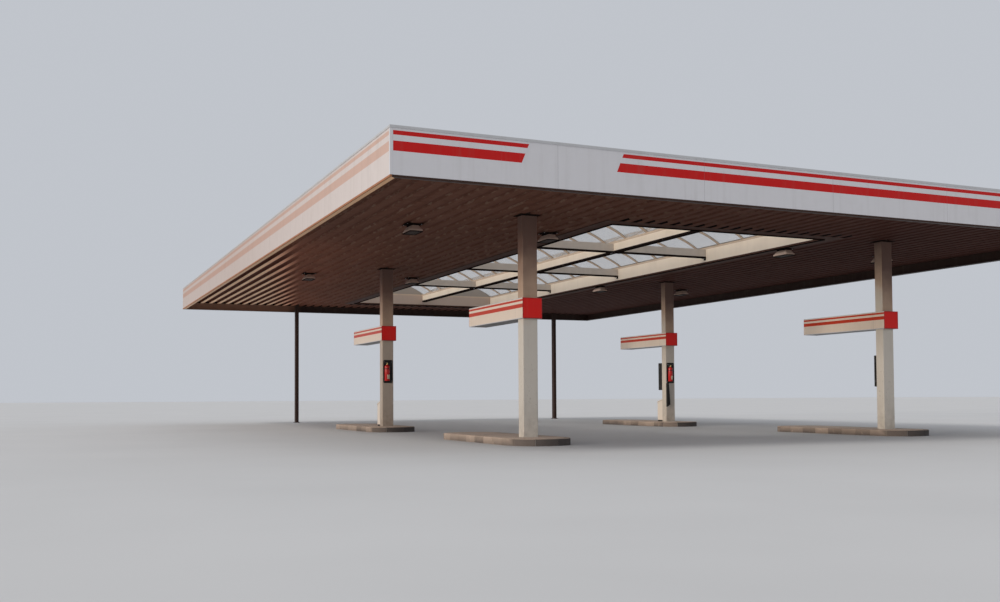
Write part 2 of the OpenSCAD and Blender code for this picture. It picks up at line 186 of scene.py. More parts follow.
# colours of the fittings and islands
# sign sides: own white and red, warmed partly as painted sunlight
SIGN_WHITE = (0.80, 0.69, 0.59)
SIGN_RED = (0.56, 0.042, 0.014)
SIGN_END = (0.80, 0.014, 0.011)
# painted shade on the signs' undersides
SIGN_UNDER_SHADE = (0.035, 0.034, 0.034)
# lamp glass kept dark as painted shade
LENS_DARK = (0.016, 0.009, 0.007)
LENS_LIT = (0.045, 0.028, 0.022)
# tyre dust, and painted shade round the islands' noses
TYRE_DUST_AND_SHADE = (0.050, 0.045, 0.046)
SLAB_JOINT = (0.09, 0.085, 0.08)
# grime that ageing leaves on most finishes
GRIME = (0.20, 0.18, 0.15)


# shapes: a shape is an array of points and a list of arrays of face numbers


def merge(*shapes):
    """Several shapes as one: points follow one another and face numbers move up to match."""
    points, faces, start = [], [], 0
    for verts, groups in shapes:
        points.append(verts)
        faces += [group + start for group in groups]
        start += len(verts)
    return np.concatenate(points), faces


def moved(shape, offset):
    """The shape with an offset added to every point."""
    return shape[0] + np.asarray(offset, float), shape[1]


def turned(shape, degrees, axis):
    """The shape turned about one axis through the origin, by a rotation matrix."""
    turn = np.array(Matrix.Rotation(math.radians(degrees), 3, axis))
    return shape[0] @ turn.T, shape[1]


def copies(shape, places):
    """One shape at many places: every point plus every place, all at once."""
    verts, groups = shape
    places = np.asarray(places, float)
    shift = np.arange(len(places)) * len(verts)
    faces = [(g[None] + shift[:, None, None]).reshape(-1, g.shape[1]) for g in groups]
    return (verts[None] + places[:, None]).reshape(-1, 3), faces


def skin(rings, loop=False):
    """Closed skin over rings of equal count: quads join each ring to the next. The end
    rings are filled with flat faces, or joined to each other where loop is true."""
    rows, count = rings.shape[:2]
    index = np.arange(rows * count).reshape(rows, count)
    here = index if loop else index[:-1]
    there = np.roll(index, -1, 0) if loop else index[1:]
    quads = np.stack([here, np.roll(here, -1, 1), np.roll(there, -1, 1), there], -1)
    faces = [quads.reshape(-1, 4)]
    if not loop:
        faces += [index[:1, ::-1], index[-1:]]
    return rings.reshape(-1, 3), faces


def outline(half_x, half_y, radius, steps):
    """Rounded rectangle: a quarter circle round each corner's centre."""
    quarter = np.arange(4).repeat(steps + 1)
    angle = np.tile(np.linspace(0, np.pi / 2, steps + 1), 4) + quarter * np.pi / 2
    sign_x = np.array([1, -1, -1, 1])[quarter]
    sign_y = np.array([1, 1, -1, -1])[quarter]
    centre = np.stack([sign_x * (half_x - radius), sign_y * (half_y - radius)], 1)
    return centre + radius * np.stack([np.cos(angle), np.sin(angle)], 1)


def loft(*layers, axis=2):
    """Closed skin through outlines of equal count, each at its own place on an axis: plan
    outlines up Z, side outlines along X, or front outlines along Y."""
    return skin(np.stack([np.insert(plan, axis, at, 1) for plan, at in layers]))


def tiers(half, rows, steps):
    """Loft of rounded rectangles about the upright axis. Each row gives how far one is
    drawn in from the half sizes, its corner radius and its height."""
    return loft(*[(outline(half[0] - inset, half[1] - inset, radius, steps), z)
                  for inset, radius, z in rows])


def block(lo, hi, edge, radius=None, steps=1):
    """Block with eased edges: the full outline runs up its height, and outlines drawn in
    by the edge close its two ends."""
    lo, hi = np.asarray(lo, float), np.asarray(hi, float)
    radius = radius or edge
    tight = max(radius - edge, edge / 2)
    rows = ((edge, tight, lo[2]), (0, radius, lo[2] + edge), (0, radius, hi[2] - edge),
            (edge, tight, hi[2]))
    return moved(tiers((hi - lo) / 2, rows, steps), (*(lo + hi)[:2] / 2, 0))


def revolve(profile, steps=24):
    """Half outline of (radius, height) points carried once round the upright axis."""
    angle = np.linspace(0, 2 * np.pi, steps, endpoint=False)
    around = np.stack([np.cos(angle), np.sin(angle)], 1)
    return loft(*[(radius * around, z) for radius, z in profile])


def drawn(points, up=0.0, out=0.0):
    """A profile's (out, up) points as an array, moved by a height and a distance."""
    return np.array(points, float) + (out, up)


def carried(profile, places, out, loop=False):
    """Profile of (out, up) points carried along places in plan. At each place the first
    number counts along the direction given there, and the second is the height."""
    plan = places[:, None] + out[:, None] * profile[None, :, :1]
    height = np.broadcast_to(profile[None, :, 1:], (*plan.shape[:2], 1))
    return skin(np.concatenate([plan, height], -1), loop)


def rail(profile, start, end, out):
    """Profile carried straight from start to end in plan."""
    return carried(profile, np.array([start, end], float), np.array([out, out], float))


def ring_rail(profile, lo, hi):
    """Profile carried round a rectangle. At each corner the points move out along both
    axes at once, which mitres the corner."""
    corner = np.array([[lo[0], lo[1]], [hi[0], lo[1]], [hi[0], hi[1]], [lo[0], hi[1]]])
    return carried(profile, corner, np.array([[-1, -1], [1, -1], [1, 1], [-1, 1]]), loop=True)


def curve(points, count):
    """Smooth path through a few guide points: the Bernstein sum of a Bezier curve."""
    order = len(points) - 1
    t = np.linspace(0, 1, count)[:, None]
    k = np.arange(order + 1)
    binomial = np.array([math.comb(order, i) for i in k])
    return (binomial * t ** k * (1 - t) ** (order - k)) @ np.asarray(points, float)


def heading(path):
    """Unit direction of a path at each of its points, from the points beside it."""
    ahead = np.gradient(path, axis=0)
    return ahead / np.linalg.norm(ahead, axis=1, keepdims=True)


def tube(path, radius, sides, reference=(0.31, 0.22, 0.92)):
    """Round bar along a path: at each point a circle stands square to the direction."""
    path = np.asarray(path, float)
    ahead = heading(path)
    side = np.cross(ahead, reference)
    side /= np.linalg.norm(side, axis=1, keepdims=True)
    up = np.cross(side, ahead)
    angle = np.linspace(0, 2 * np.pi, sides, endpoint=False)[None, :, None]
    circle = np.cos(angle) * side[:, None] + np.sin(angle) * up[:, None]
    return skin(path[:, None] + radius * circle)


def lever(start, end, width, thick):
    """Flat lever between two points in the XZ plane: a rounded section carried along a
    shallow curve."""
    start, end = np.array(start, float), np.array(end, float)
    path = curve([start, (start + end) / 2 - (0, 0, 0.006), end], 8)
    section = outline(width / 2, thick / 2, thick * 0.45, 2)
    ahead = heading(path)
    up = np.column_stack([-ahead[:, 2], 0 * ahead[:, 0], ahead[:, 0]])
    return skin(path[:, None] + section[None, :, :1] * REAR + section[None, :, 1:] * up[:, None])


def arch(centre, radius, reach, width, depth, steps=30):
    """Flat bar bent along an arc: at each angle a section of the given width along Y and
    depth along the radius."""
    angle = np.linspace(-reach, reach, steps)[:, None]
    away = radius + depth * np.array([[0, 0, 1, 1]])
    along = centre[1] + width * np.array([[-0.5, 0.5, 0.5, -0.5]])
    x = centre[0] + away * np.sin(angle)
    z = centre[2] + away * np.cos(angle)
    return skin(np.stack([x, np.broadcast_to(along, x.shape), z], -1))


def angle_section(arm, thick):
    """Equal angle laid over an outer edge, with its inner faces just outside the edge."""
    near = 0.0003
    return np.array([(thick, thick), (-arm, thick), (-arm, near), (near, near), (near, -arm),
                     (thick, -arm)])


def hex_bolt(width=0.018, height=0.010, shank=0.005):
    """Hexagon head on a round washer, upright: six sides eased at the top."""
    head = revolve([(width / 2, 0.002), (width / 2, height * 0.8), (width * 0.4, height)], 6)
    washer = revolve([(width * 0.75, 0.0), (width * 0.75, 0.002)], 12)
    stub = revolve([(shank, height), (shank, height * 1.5)], 8)
    return merge(head, washer, stub)


def screw():
    """Small hexagon head on a sealing washer, facing up."""
    head = revolve([(0.006, 0.0015), (0.006, 0.006)], 6)
    return merge(head, revolve([(0.010, 0.0), (0.009, 0.0018)], 8))


def grid_places(xs, ys, z):
    """Every pairing of the given X and Y places at one height."""
    x, y = np.meshgrid(xs, ys)
    return np.column_stack([x.ravel(), y.ravel(), np.full(x.size, z)])


# finishes


class Net:
    """Adds nodes to one node tree. An input is given as a socket or as a plain value."""

    def __init__(self, tree):
        self.tree = tree

    def add(self, kind, inputs=(), **settings):
        node = self.tree.nodes.new(kind)
        for key, value in settings.items():
            setattr(node, key, value)
        for key, value in dict(inputs).items():
            self.plug(node.inputs[key], value)
        return node

    def plug(self, socket, value):
        """Links a socket into an input, or sets the input to a plain value."""
        if isinstance(value, bpy.types.NodeSocket):
            self.tree.links.new(value, socket)
        elif socket.type == "RGBA" and len(value) == 3:
            socket.default_value = (*value, 1.0)
        else:
            socket.default_value = value

    def math(self, operation, a, b=0.0, **settings):
        inputs = {0: a, 1: b}
        return self.add("ShaderNodeMath", inputs, operation=operation, **settings).outputs[0]

    plus = partialmethod(math, "ADD")
    minus = partialmethod(math, "SUBTRACT")
    both = partialmethod(math, "MULTIPLY")
    most = partialmethod(math, "MAXIMUM")
    size = partialmethod(math, "ABSOLUTE")
    above = partialmethod(math, "GREATER_THAN")
    below = partialmethod(math, "LESS_THAN")

    def between(self, value, low, high):
        return self.both(self.above(value, low), self.below(value, high))

    def mix(self, factor, a, b, blend="MIX"):
        inputs = {0: factor, 6: a, 7: b}
        return self.add("ShaderNodeMix", data_type="RGBA", blend_type=blend,
                        inputs=inputs).outputs[2]

    def stretch(self, vector, scale):
        """A place with each axis scaled, so that a pattern on it is drawn out or packed."""
        inputs = {0: vector, 1: scale}
        return self.add("ShaderNodeVectorMath", inputs, operation="MULTIPLY").outputs[0]

    def noise(self, vector, scale, detail=3.0):
        inputs = {"Vector": vector, "Scale": scale, "Detail": detail, "Roughness": 0.55}
        return self.add("ShaderNodeTexNoise", inputs).outputs[0]

    def ramp(self, value, low, high, to_low=0.0, to_high=1.0):
        """A value carried from one range to another, and held at the range's ends."""
        inputs = {0: value, 1: low, 2: high, 3: to_low, 4: to_high}
        return self.add("ShaderNodeMapRange", inputs, clamp=True).outputs[0]

    def patches(self, vector, scale, detail, *limits):
        """Noise spread over a range: its limits, and then what they become."""
        return self.ramp(self.noise(vector, scale, detail), *limits)

    def cells(self, vector, scale, highest):
        """One random value for each cell of a Voronoi pattern, from zero to the highest."""
        cell = self.add("ShaderNodeTexVoronoi", {"Vector": vector, "Scale": scale})
        return self.ramp(self.split(cell.outputs["Color"])[0], 0.0, 1.0, 0.0, highest)

    def split(self, vector):
        return self.add("ShaderNodeSeparateXYZ", {0: vector}).outputs

    def place(self):
        """The place on the piece, and its X, Y and Z."""
        where = self.add("ShaderNodeTexCoord").outputs["Object"]
        return where, *self.split(where)

    def facing(self, direction):
        """Cosine between the surface's own normal and a fixed direction."""
        normal = self.add("ShaderNodeNewGeometry").outputs["True Normal"]
        inputs = {0: normal, 1: direction}
        return self.add("ShaderNodeVectorMath", inputs, operation="DOT_PRODUCT").outputs["Value"]

    def faces(self, direction, limit=0.5):
        """Mask of the faces that look along a direction."""
        return self.above(self.facing(direction), limit)

    def faces_either(self, direction, limit=0.5):
        """Mask of the faces that look along a direction or against it."""
        return self.above(self.size(self.facing(direction)), limit)

    def group(self, tree, **inputs):
        return self.add("ShaderNodeGroup", inputs, node_tree=tree).outputs

    def joints(self, along, pitch, width):
        """Mask of joint lines that repeat along a direction."""
        return self.group(JOINT_LINES, Along=along, Pitch=pitch, Width=width)[0]

    def bands(self, z, low, top, limits):
        """Mask of the two bands on a face that reaches from a low to a top height."""
        sizes = dict(zip("ABCD", limits), Z=z, Top=top, Height=top - low)
        return self.group(BANDS, **sizes)[0]

    def bump(self, height, distance):
        inputs = {"Height": height, "Distance": distance, "Strength": 1.0}
        return self.add("ShaderNodeBump", inputs).outputs[0]


def start_group(name, inputs, outputs):
    """A node group with named inputs, given with their defaults, and named outputs."""
    tree = bpy.data.node_groups.new(name, "ShaderNodeTree")
    for key, value in inputs.items():
        kind = "Vector" if key == "Vector" else "Color" if isinstance(value, tuple) else "Float"
        socket = tree.interface.new_socket(key, in_out="INPUT", socket_type="NodeSocket" + kind)
        if value is not None:
            socket.default_value = (*value, 1.0) if isinstance(value, tuple) else value
    for key, kind in outputs.items():
        tree.interface.new_socket(key, in_out="OUTPUT", socket_type="NodeSocket" + kind)
    net = Net(tree)
    return tree, net, net.add("NodeGroupInput").outputs, net.add("NodeGroupOutput").inputs


def make_weathering():
    """Outdoor ageing: broad mottle, rain streaks that run down, and small dark flecks.
    Gives the tinted colour, a grime mask and a height for fine surface unevenness."""
    defaults = {"Vector": None, "Colour": WHITE, "Mottle": 0.10, "Streaks": 0.10,
                "Flecks": 0.05, "Grime": GRIME}
    outputs = {"Colour": "Color", "Mask": "Float", "Height": "Float"}
    tree, net, given, result = start_group("weathering", defaults, outputs)
    where = given["Vector"]
    broad = net.patches(where, 0.9, 4.0, 0.35, 0.70)
    cloud = net.both(net.patches(where, 5.0, 4.0, 0.35, 0.75), given["Mottle"])
    drawn_down = net.stretch(where, (9.0, 9.0, 0.45))
    run = net.both(net.patches(drawn_down, 1.0, 5.0, 0.50, 0.78), given["Streaks"])
    spot = net.both(net.patches(where, 70.0, 2.0, 0.66, 0.74), given["Flecks"])
    mask = net.plus(net.both(net.plus(cloud, run), net.plus(broad, 0.4)), spot)
    mask = net.math("MINIMUM", mask, 1.0)
    net.plug(result["Colour"], net.mix(mask, given["Colour"], given["Grime"]))
    net.plug(result["Mask"], mask)
    net.plug(result["Height"], net.noise(where, 260.0, 2.0))
    return tree


def make_bands():
    """Mask of a thin and a thick band: the depth below the top, as a share of the height,
    lies between one of two pairs of limits."""
    defaults = {"Z": 0.0, "Top": 1.0, "Height": 1.0, "A": 0.1, "B": 0.2, "C": 0.3, "D": 0.5}
    tree, net, given, result = start_group("bands", defaults, {"Mask": "Float"})
    share = net.math("DIVIDE", net.minus(given["Top"], given["Z"]), given["Height"])
    thin = net.between(share, given["A"], given["B"])
    thick = net.between(share, given["C"], given["D"])
    net.plug(result["Mask"], net.most(thin, thick))
    return tree


def make_joint_lines():
    """Mask of narrow lines that repeat at a pitch: the distance to the nearest multiple of
    the pitch is less than half the line's width."""
    defaults = {"Along": 0.0, "Pitch": 1.0, "Width": 0.01}
    tree, net, given, result = start_group("joint lines", defaults, {"Mask": "Float"})
    half = net.both(given["Pitch"], 0.5)
    far = net.math("PINGPONG", net.plus(given["Along"], half), half)
    net.plug(result["Mask"], net.below(net.minus(half, far), net.both(given["Width"], 0.5)))
    return tree


def make_lit_line():
    """Distance along X from the slanting line that bounds the painted sunlight on the left rear
    part.
    """
    defaults = {"X": 0.0, "Y": 0.0}
    tree, net, given, result = start_group("lit line", defaults, {"Past": "Float"})
    slanted = net.minus(given["X"], net.both(given["Y"], LIT_LINE_SLANT))
    net.plug(result["Past"], net.minus(slanted, LIT_LINE_X))
    return tree


def make_cast_concrete():
    """Cast concrete: aggregate, broad dark patches, pores, and tyre dust where the Dusty
    mask allows it, thickest low down. Round the islands' noses the same dark colour is
    painted shade; the way along Y from the nearest island's middle finds the noses. Own is
    how dark one stone is."""
    defaults = {"Vector": None, "Tone": WHITE, "Lighter": WHITE, "Darker": WHITE,
                "Own": 0.0, "Dusty": 0.0}
    outputs = {"Colour": "Color", "Height": "Float", "Roughness": "Float"}
    tree, net, given, result = start_group("cast concrete", defaults, outputs)
    where, darker = given["Vector"], given["Darker"]
    _, y, z = net.split(where)
    colour = net.mix(net.cells(where, 260.0, 0.35), given["Tone"], given["Lighter"])
    colour = net.mix(net.both(given["Own"], 0.75), colour, darker)
    colour = net.mix(net.patches(where, 2.2, 6.0, 0.45, 0.75, 0.0, 0.45), colour, darker)
    dust_and_shade = net.both(net.ramp(z, 0.0, 0.14, 0.85, 0.35), net.patches(where, 7.0, 3.0, 0.1, 0.4))
    from_middle = net.math("PINGPONG", net.minus(y, ISLAND_Y), ISLAND_HALF_PITCH)
    # painted shade round the islands' noses, in the tyre dust's colour
    dust_and_shade = net.most(dust_and_shade, net.ramp(from_middle, 1.66, 2.06, 0.0, 0.93))
    colour = net.mix(net.both(given["Dusty"], dust_and_shade), colour, TYRE_DUST_AND_SHADE)
    pores = net.patches(where, 190.0, 2.0, 0.62, 0.72)
    net.plug(result["Colour"], net.mix(net.both(pores, 0.5), colour, darker))
    net.plug(result["Height"], net.minus(net.noise(where, 90.0, 4.0), net.both(pores, 0.6)))
    net.plug(result["Roughness"], net.patches(where, 12.0, 3.0, 0.3, 0.7, 0.78, 0.95))
    return tree


WEATHERING = make_weathering()
BANDS = make_bands()
JOINT_LINES = make_joint_lines()
LIT_LINE = make_lit_line()
CAST_CONCRETE = make_cast_concrete()


def start_finish(name, roughness, metallic=0.0, gloss=0.3):
    """A material with its shader's plain values set, and the net that fills it."""
    finish = bpy.data.materials.new(name)
    finish.use_nodes = True
    shader = finish.node_tree.nodes["Principled BSDF"]
    shader.inputs["Roughness"].default_value = roughness
    shader.inputs["Metallic"].default_value = metallic
    shader.inputs["Specular IOR Level"].default_value = gloss
    return finish, Net(finish.node_tree), shader.inputs


def weather(net, sockets, colour, mottle, streaks, flecks, rough, grime=GRIME, height=0.0002,
            extra=None):
    """Ages a colour, lifts the roughness where grime lies and adds the fine bump. A mask
    and colour given as extra go over the aged colour."""
    aged = net.group(WEATHERING, Vector=net.place()[0], Colour=colour, Mottle=mottle,
                     Streaks=streaks, Flecks=flecks, Grime=grime)
    shown = net.mix(extra[0], aged["Colour"], extra[1]) if extra else aged["Colour"]
    net.plug(sockets["Base Color"], shown)
    net.plug(sockets["Roughness"], net.ramp(aged["Mask"], 0.0, 1.0, rough, min(rough + 0.35, 1.0)))
    net.plug(sockets["Normal"], net.bump(aged["Height"], height))


def paint(name, colour, rough, mottle, streaks, flecks, grime=GRIME, height=0.0002,
          metallic=0.0, gloss=0.3):
    """Coated metal or moulding with light ageing."""
    finish, net, sockets = start_finish(name, rough, metallic, gloss)
    weather(net, sockets, colour, mottle, streaks, flecks, rough, grime, height)
    return finish


def fascia_finish(name, outward, red=RED, white=WHITE, fold=FOLD_BROWN, bare=False, rear_tint=0.0):
    """Coated fascia sheet. Outwards it is white with two red bands that stop short of the
    corners, and thin panel joints; its fold has a colour of its own and its inner face is
    brown, with painted sunlight on the inner face behind the soffit's lit part. Where bare
    is true, the bands leave a slanted field free, near the left end of the front. Rear tint
    is the share by which the colour darkens towards the rear."""
    finish, net, sockets = start_finish(name, 0.42, gloss=0.12)
    _, x, y, z = net.place()
    along, limit = (x, ROOF_HI[0]) if outward[1] else (y, ROOF_HI[1])
    outer = net.faces(outward)
    band = net.bands(z, ROOF_LO[2], ROOF_HI[2], FASCIA_BANDS)
    band = net.both(net.both(band, net.below(net.size(along), limit - BAND_END)), outer)
    if bare:
        upright = net.minus(x, net.both(net.minus(z, BARE_LEVEL), BARE_SLANT))
        band = net.both(band, net.minus(1.0, net.between(upright, *BARE_FIELD)))
    line = net.both(net.joints(along, FASCIA_PANEL, 0.006), outer)
    colour = net.mix(band, white, red)
    colour = net.mix(net.both(line, 0.55), colour, JOINT_GREY)
    if rear_tint:
        colour = net.mix(net.ramp(y, -13.0, 1.0, 0.0, rear_tint), colour, FASCIA_REAR_TINT, "MULTIPLY")
    inner = net.both(net.below(net.facing(outward), -0.5), net.below(z, RIB_TOP_Z))
    # painted sunlight on the inner face, up to the soffit's lit line
    lit = net.ramp(net.group(LIT_LINE, X=x, Y=y)[0], -0.3, 0.3, 1.0, 0.0)
    colour = net.mix(inner, colour, net.mix(lit, FOLD_BROWN, LIT_INNER_FACE))
    colour = net.mix(net.faces(DOWN), colour, fold)
    weather(net, sockets, colour, 0.05, 0.12, 0.04, 0.42)
    return finish


def drip_finish(name):
    """Brown edge strip, with painted sunlight along the left side."""
    finish, net, sockets = start_finish(name, 0.55, gloss=0.1)
    left = net.below(net.place()[1], ROOF_LO[0] + 0.03)
    colour = net.mix(left, FOLD_BROWN, DRIP_LEFT_LIT)
    weather(net, sockets, colour, 0.20, 0.0, 0.15, 0.55, grime=(0.05, 0.03, 0.02))
    return finish


def sign_finish(name, node):
    """Moulded sign panel: a white side with two red bands, a dark seam behind the front
    cap, red ends and an underside darkened as painted shade."""
    finish, net, sockets = start_finish(name, 0.34, gloss=0.15)
    lo, hi = corners(node)
    _, _, y, z = net.place()
    seam = net.between(y, lo[1] + SIGN_CAP, lo[1] + SIGN_CAP + 0.004)
    band = net.both(net.bands(z, lo[2], hi[2], SIGN_BANDS), net.faces_either(RIGHT))
    colour = net.mix(band, SIGN_WHITE, SIGN_RED)
    colour = net.mix(net.faces_either(REAR), colour, SIGN_END)
    colour = net.mix(net.both(seam, 0.7), colour, SEAM_DARK)
    # painted shade on the underside
    colour = net.mix(net.faces(DOWN), colour, SIGN_UNDER_SHADE)
    weather(net, sockets, colour, 0.04, 0.10, 0.03, 0.32)
    sockets["Coat Weight"].default_value = 0.04
    sockets["Coat Roughness"].default_value = 0.15
    return finish


def soffit_finish(name):
    """Brown coil coated sheet: faint cross laps, dust on the flats, painted highlights on the
    rib sides that face left, and painted shade that darkens it towards the right. The left
    rear part carries painted sunlight: dark hollows and pale flats, fading out in a warm
    fringe beside it."""
    finish, net, sockets = start_finish(name, 0.60, gloss=0.01)
    where, x, y, z = net.place()
    past = net.group(LIT_LINE, X=x, Y=y)[0]
    low = net.below(z, SOFFIT_Z + 0.012)
    dust = net.noise(net.stretch(where, (3.0, 0.35, 3.0)), 1.2, 5.0)
    dusty = net.both(net.ramp(dust, 0.42, 0.75), net.ramp(low, 0.0, 1.0, 0.10, 0.30))
    colour = net.mix(dusty, net.mix(low, RIB_BROWN, BROWN), SOFFIT_DUST)
    # painted highlights on the rib sides that face left
    glint = net.patches(net.stretch(where, (14.0, 3.0, 14.0)), 1.0, 5.0, 0.50, 0.62)
    glint = net.both(net.both(net.faces(LEFT, 0.2), glint), net.ramp(x, -2.0, 3.0, 0.45, 0.0))
    colour = net.mix(glint, colour, SOFFIT_GLINT)
    # painted shade towards the right
    colour = net.mix(net.ramp(x, -3.5, 4.5, 0.0, 0.62), colour, SOFFIT_SHADE)
    # painted warm light fading out beside the lit part
    lit_fringe = net.both(net.ramp(past, 0.0, 3.2, 0.50, 0.0), net.ramp(y, -7.0, -3.0))
    lit_fringe = net.both(lit_fringe, net.ramp(dust, 0.25, 0.60, 0.4, 1.0))
    colour = net.mix(lit_fringe, colour, SOFFIT_LIT_FRINGE)
    # painted sunlight in the left rear part: darker hollows
    lit_zone = net.both(net.ramp(past, -0.35, 0.15, 1.0, 0.0), net.ramp(y, -6.5, -1.0))
    colour = net.mix(lit_zone, colour, LIT_ZONE_HOLLOW)
    colour = net.mix(net.both(net.joints(y, SHEET_LAP, 0.008), 0.8), colour, SOFFIT_LAP)
    from_hollow = net.minus(x, RIB_FLAT + (RIB_PITCH - RIB_FLAT) / 2)
    flat = net.minus(1.0, net.joints(from_hollow, RIB_PITCH, 0.20))
    # painted sunlight in the left rear part: pale flats
    lit_flats = net.both(net.both(lit_zone, net.ramp(dust, 0.30, 0.60, 0.75, 1.0)), flat)
    pale = net.mix(net.ramp(past, -1.0, 0.1), LIT_ZONE_FLAT, LIT_ZONE_EDGE)
    weather(net, sockets, colour, 0.22, 0.10, 0.20, 0.60, grime=(0.035, 0.018, 0.013),
            height=0.0004, extra=(lit_flats, pale))
    return finish


def deck_finish(name):
    """Weathered zinc coated sheet with its crystal pattern, cross laps and dirt in the
    troughs."""
    finish, net, sockets = start_finish(name, 0.45, 0.7)
    where, _, y, z = net.place()
    colour = net.mix(net.cells(where, 55.0, 0.6), ZINC_DARK, ZINC_PALE)
    trough = net.both(net.ramp(z, DECK_Z + 0.003, DECK_Z + 0.030, 0.40, 0.0),
                      net.patches(where, 0.6, 6.0, 0.30, 0.75))
    colour = net.mix(trough, colour, DECK_DIRT)
    colour = net.mix(net.both(net.joints(y, SHEET_LAP, 0.010), 0.8), colour, SEAM_DARK)
    weather(net, sockets, colour, 0.16, 0.0, 0.10, 0.42, height=0.0005)
    return finish


def concrete_finish(name, tone, joint_pitch=0.0, varied=False):
    """Cast concrete with tyre dust and painted shade on its sides and, on a slab, joints
    across it. Where varied is true, each stone's own tone comes from the mesh."""
    finish, net, sockets = start_finish(name, 0.85)
    where, _, y, _ = net.place()
    side = net.below(net.size(net.facing(UP)), 0.6)
    values = {"Tone": tone, "Lighter": tuple(min(1.0, share * 1.30) for share in tone),
              "Darker": tuple(share * 0.55 for share in tone), "Dusty": side}
    if varied:
        own = net.add("ShaderNodeAttribute", attribute_name="tone").outputs["Fac"]
        values.update(Own=own, Dusty=net.both(side, net.ramp(own, 0.0, 0.5, 0.72, 1.0)))
    colour, height, rough = net.group(CAST_CONCRETE, Vector=where, **values)
    if joint_pitch:
        line = net.joints(y, joint_pitch, 0.008)
        colour = net.mix(net.both(line, 0.75), colour, SLAB_JOINT)
        height = net.minus(height, net.both(line, 2.0))
    net.plug(sockets["Base Color"], colour)
    net.plug(sockets["Normal"], net.bump(height, 0.0012))
    net.plug(sockets["Roughness"], rough)
    return finish


def column_finish(name):
    """Cream paint on the columns, with road dirt at the foot and touched marks at hand
    height. Painted shade darkens them brown towards the soffit; on the left faces of the
    right hand columns it starts higher, where painted sunlight reaches. Painted shade also
    darkens the middle columns, the left one most."""
    finish, net, sockets = start_finish(name, 0.40)
    where, x, y, z = net.place()
    foot = net.both(net.ramp(z, 0.15, 0.95, 0.50, 0.0), net.patches(where, 6.0, 5.0, 0.35, 0.70))
    reach = net.both(net.between(z, 0.75, 1.75), net.patches(where, 16.0, 4.0, 0.60, 0.72))
    colour = net.mix(net.most(foot, net.both(reach, 0.35)), CREAM, ROAD_FILM)
    # painted shade on the middle columns
    deep = net.both(net.ramp(y, -5.0, -1.0), net.ramp(x, -1.0, 1.0, 0.95, 0.35))
    colour = net.mix(deep, colour, COLUMN_DEEP_SHADE, "MULTIPLY")
    cloud = net.patches(where, 3.0, 4.0, 0.3, 0.7, -0.12, 0.12)
    # left faces of the right columns: painted sunlight lifts the start of the shade
    sunlit_left = net.both(net.faces(LEFT), net.above(x, 0.0))
    level = net.plus(z, net.minus(cloud, net.both(sunlit_left, 0.80)))
    # painted shade towards the soffit, warm and then dark
    colour = net.mix(net.ramp(level, 2.60, 3.15), colour, COLUMN_SHADE_WARM)
    colour = net.mix(net.ramp(level, 2.90, 4.20), colour, COLUMN_SHADE_DARK)
    weather(net, sockets, colour, 0.05, 0.14, 0.06, 0.38, grime=(0.17, 0.12, 0.095))
    return finish


def glazing_finish(name):
    """Translucent multiwall sheet: pale, seen through in part, with fine webs that run
    over the arch and a little dust. The upright end sheets are denser, and greyer as
    painted shade."""
    finish, net, sockets = start_finish(name, 0.22)
    where, _, y, _ = net.place()
    web = net.joints(y, 0.048, 0.006)
    dust = net.patches(where, 1.1, 5.0, 0.35, 0.75)
    end = net.faces_either(REAR, 0.8)
    colour = net.mix(net.both(dust, 0.25), GLAZING_PALE, GLAZING_DUST)
    alpha = net.plus(0.20, net.plus(net.both(web, 0.05), net.both(dust, 0.03)))
    net.plug(sockets["Base Color"], net.mix(end, colour, GLAZING_END_SHADE))
    net.plug(sockets["Alpha"], net.plus(alpha, net.both(end, 0.68), use_clamp=True))
    net.plug(sockets["Normal"], net.bump(web, 0.0002))
    return finish


def kerb_finish(name):
    """Cream paint of the beams round the opening, brightened as painted sunlight, with
    painted shade at the rear end.
    """
    finish, net, sockets = start_finish(name, 0.45)
    # painted shade at the rear end
    rear = net.above(net.place()[2], OPEN_HI[1] - 0.05)
    weather(net, sockets, net.mix(rear, KERB_CREAM_LIT, KERB_REAR_SHADE), 0.04, 0.06, 0.05, 0.45)
    return finish


def lens_finish(name):
    """Lamp glass, dark as painted shade: smooth with a faint prism pattern."""
    finish, net, sockets = start_finish(name, 0.45, gloss=0.02)
    _, x, y, _ = net.place()
    cross = net.both(net.math("SINE", net.both(x, 400.0)), net.math("SINE", net.both(y, 400.0)))
    net.plug(sockets["Base Color"], net.mix(net.ramp(cross, -1.0, 1.0), LENS_DARK, LENS_LIT))
    net.plug(sockets["Normal"], net.bump(cross, 0.0008))
    return finish


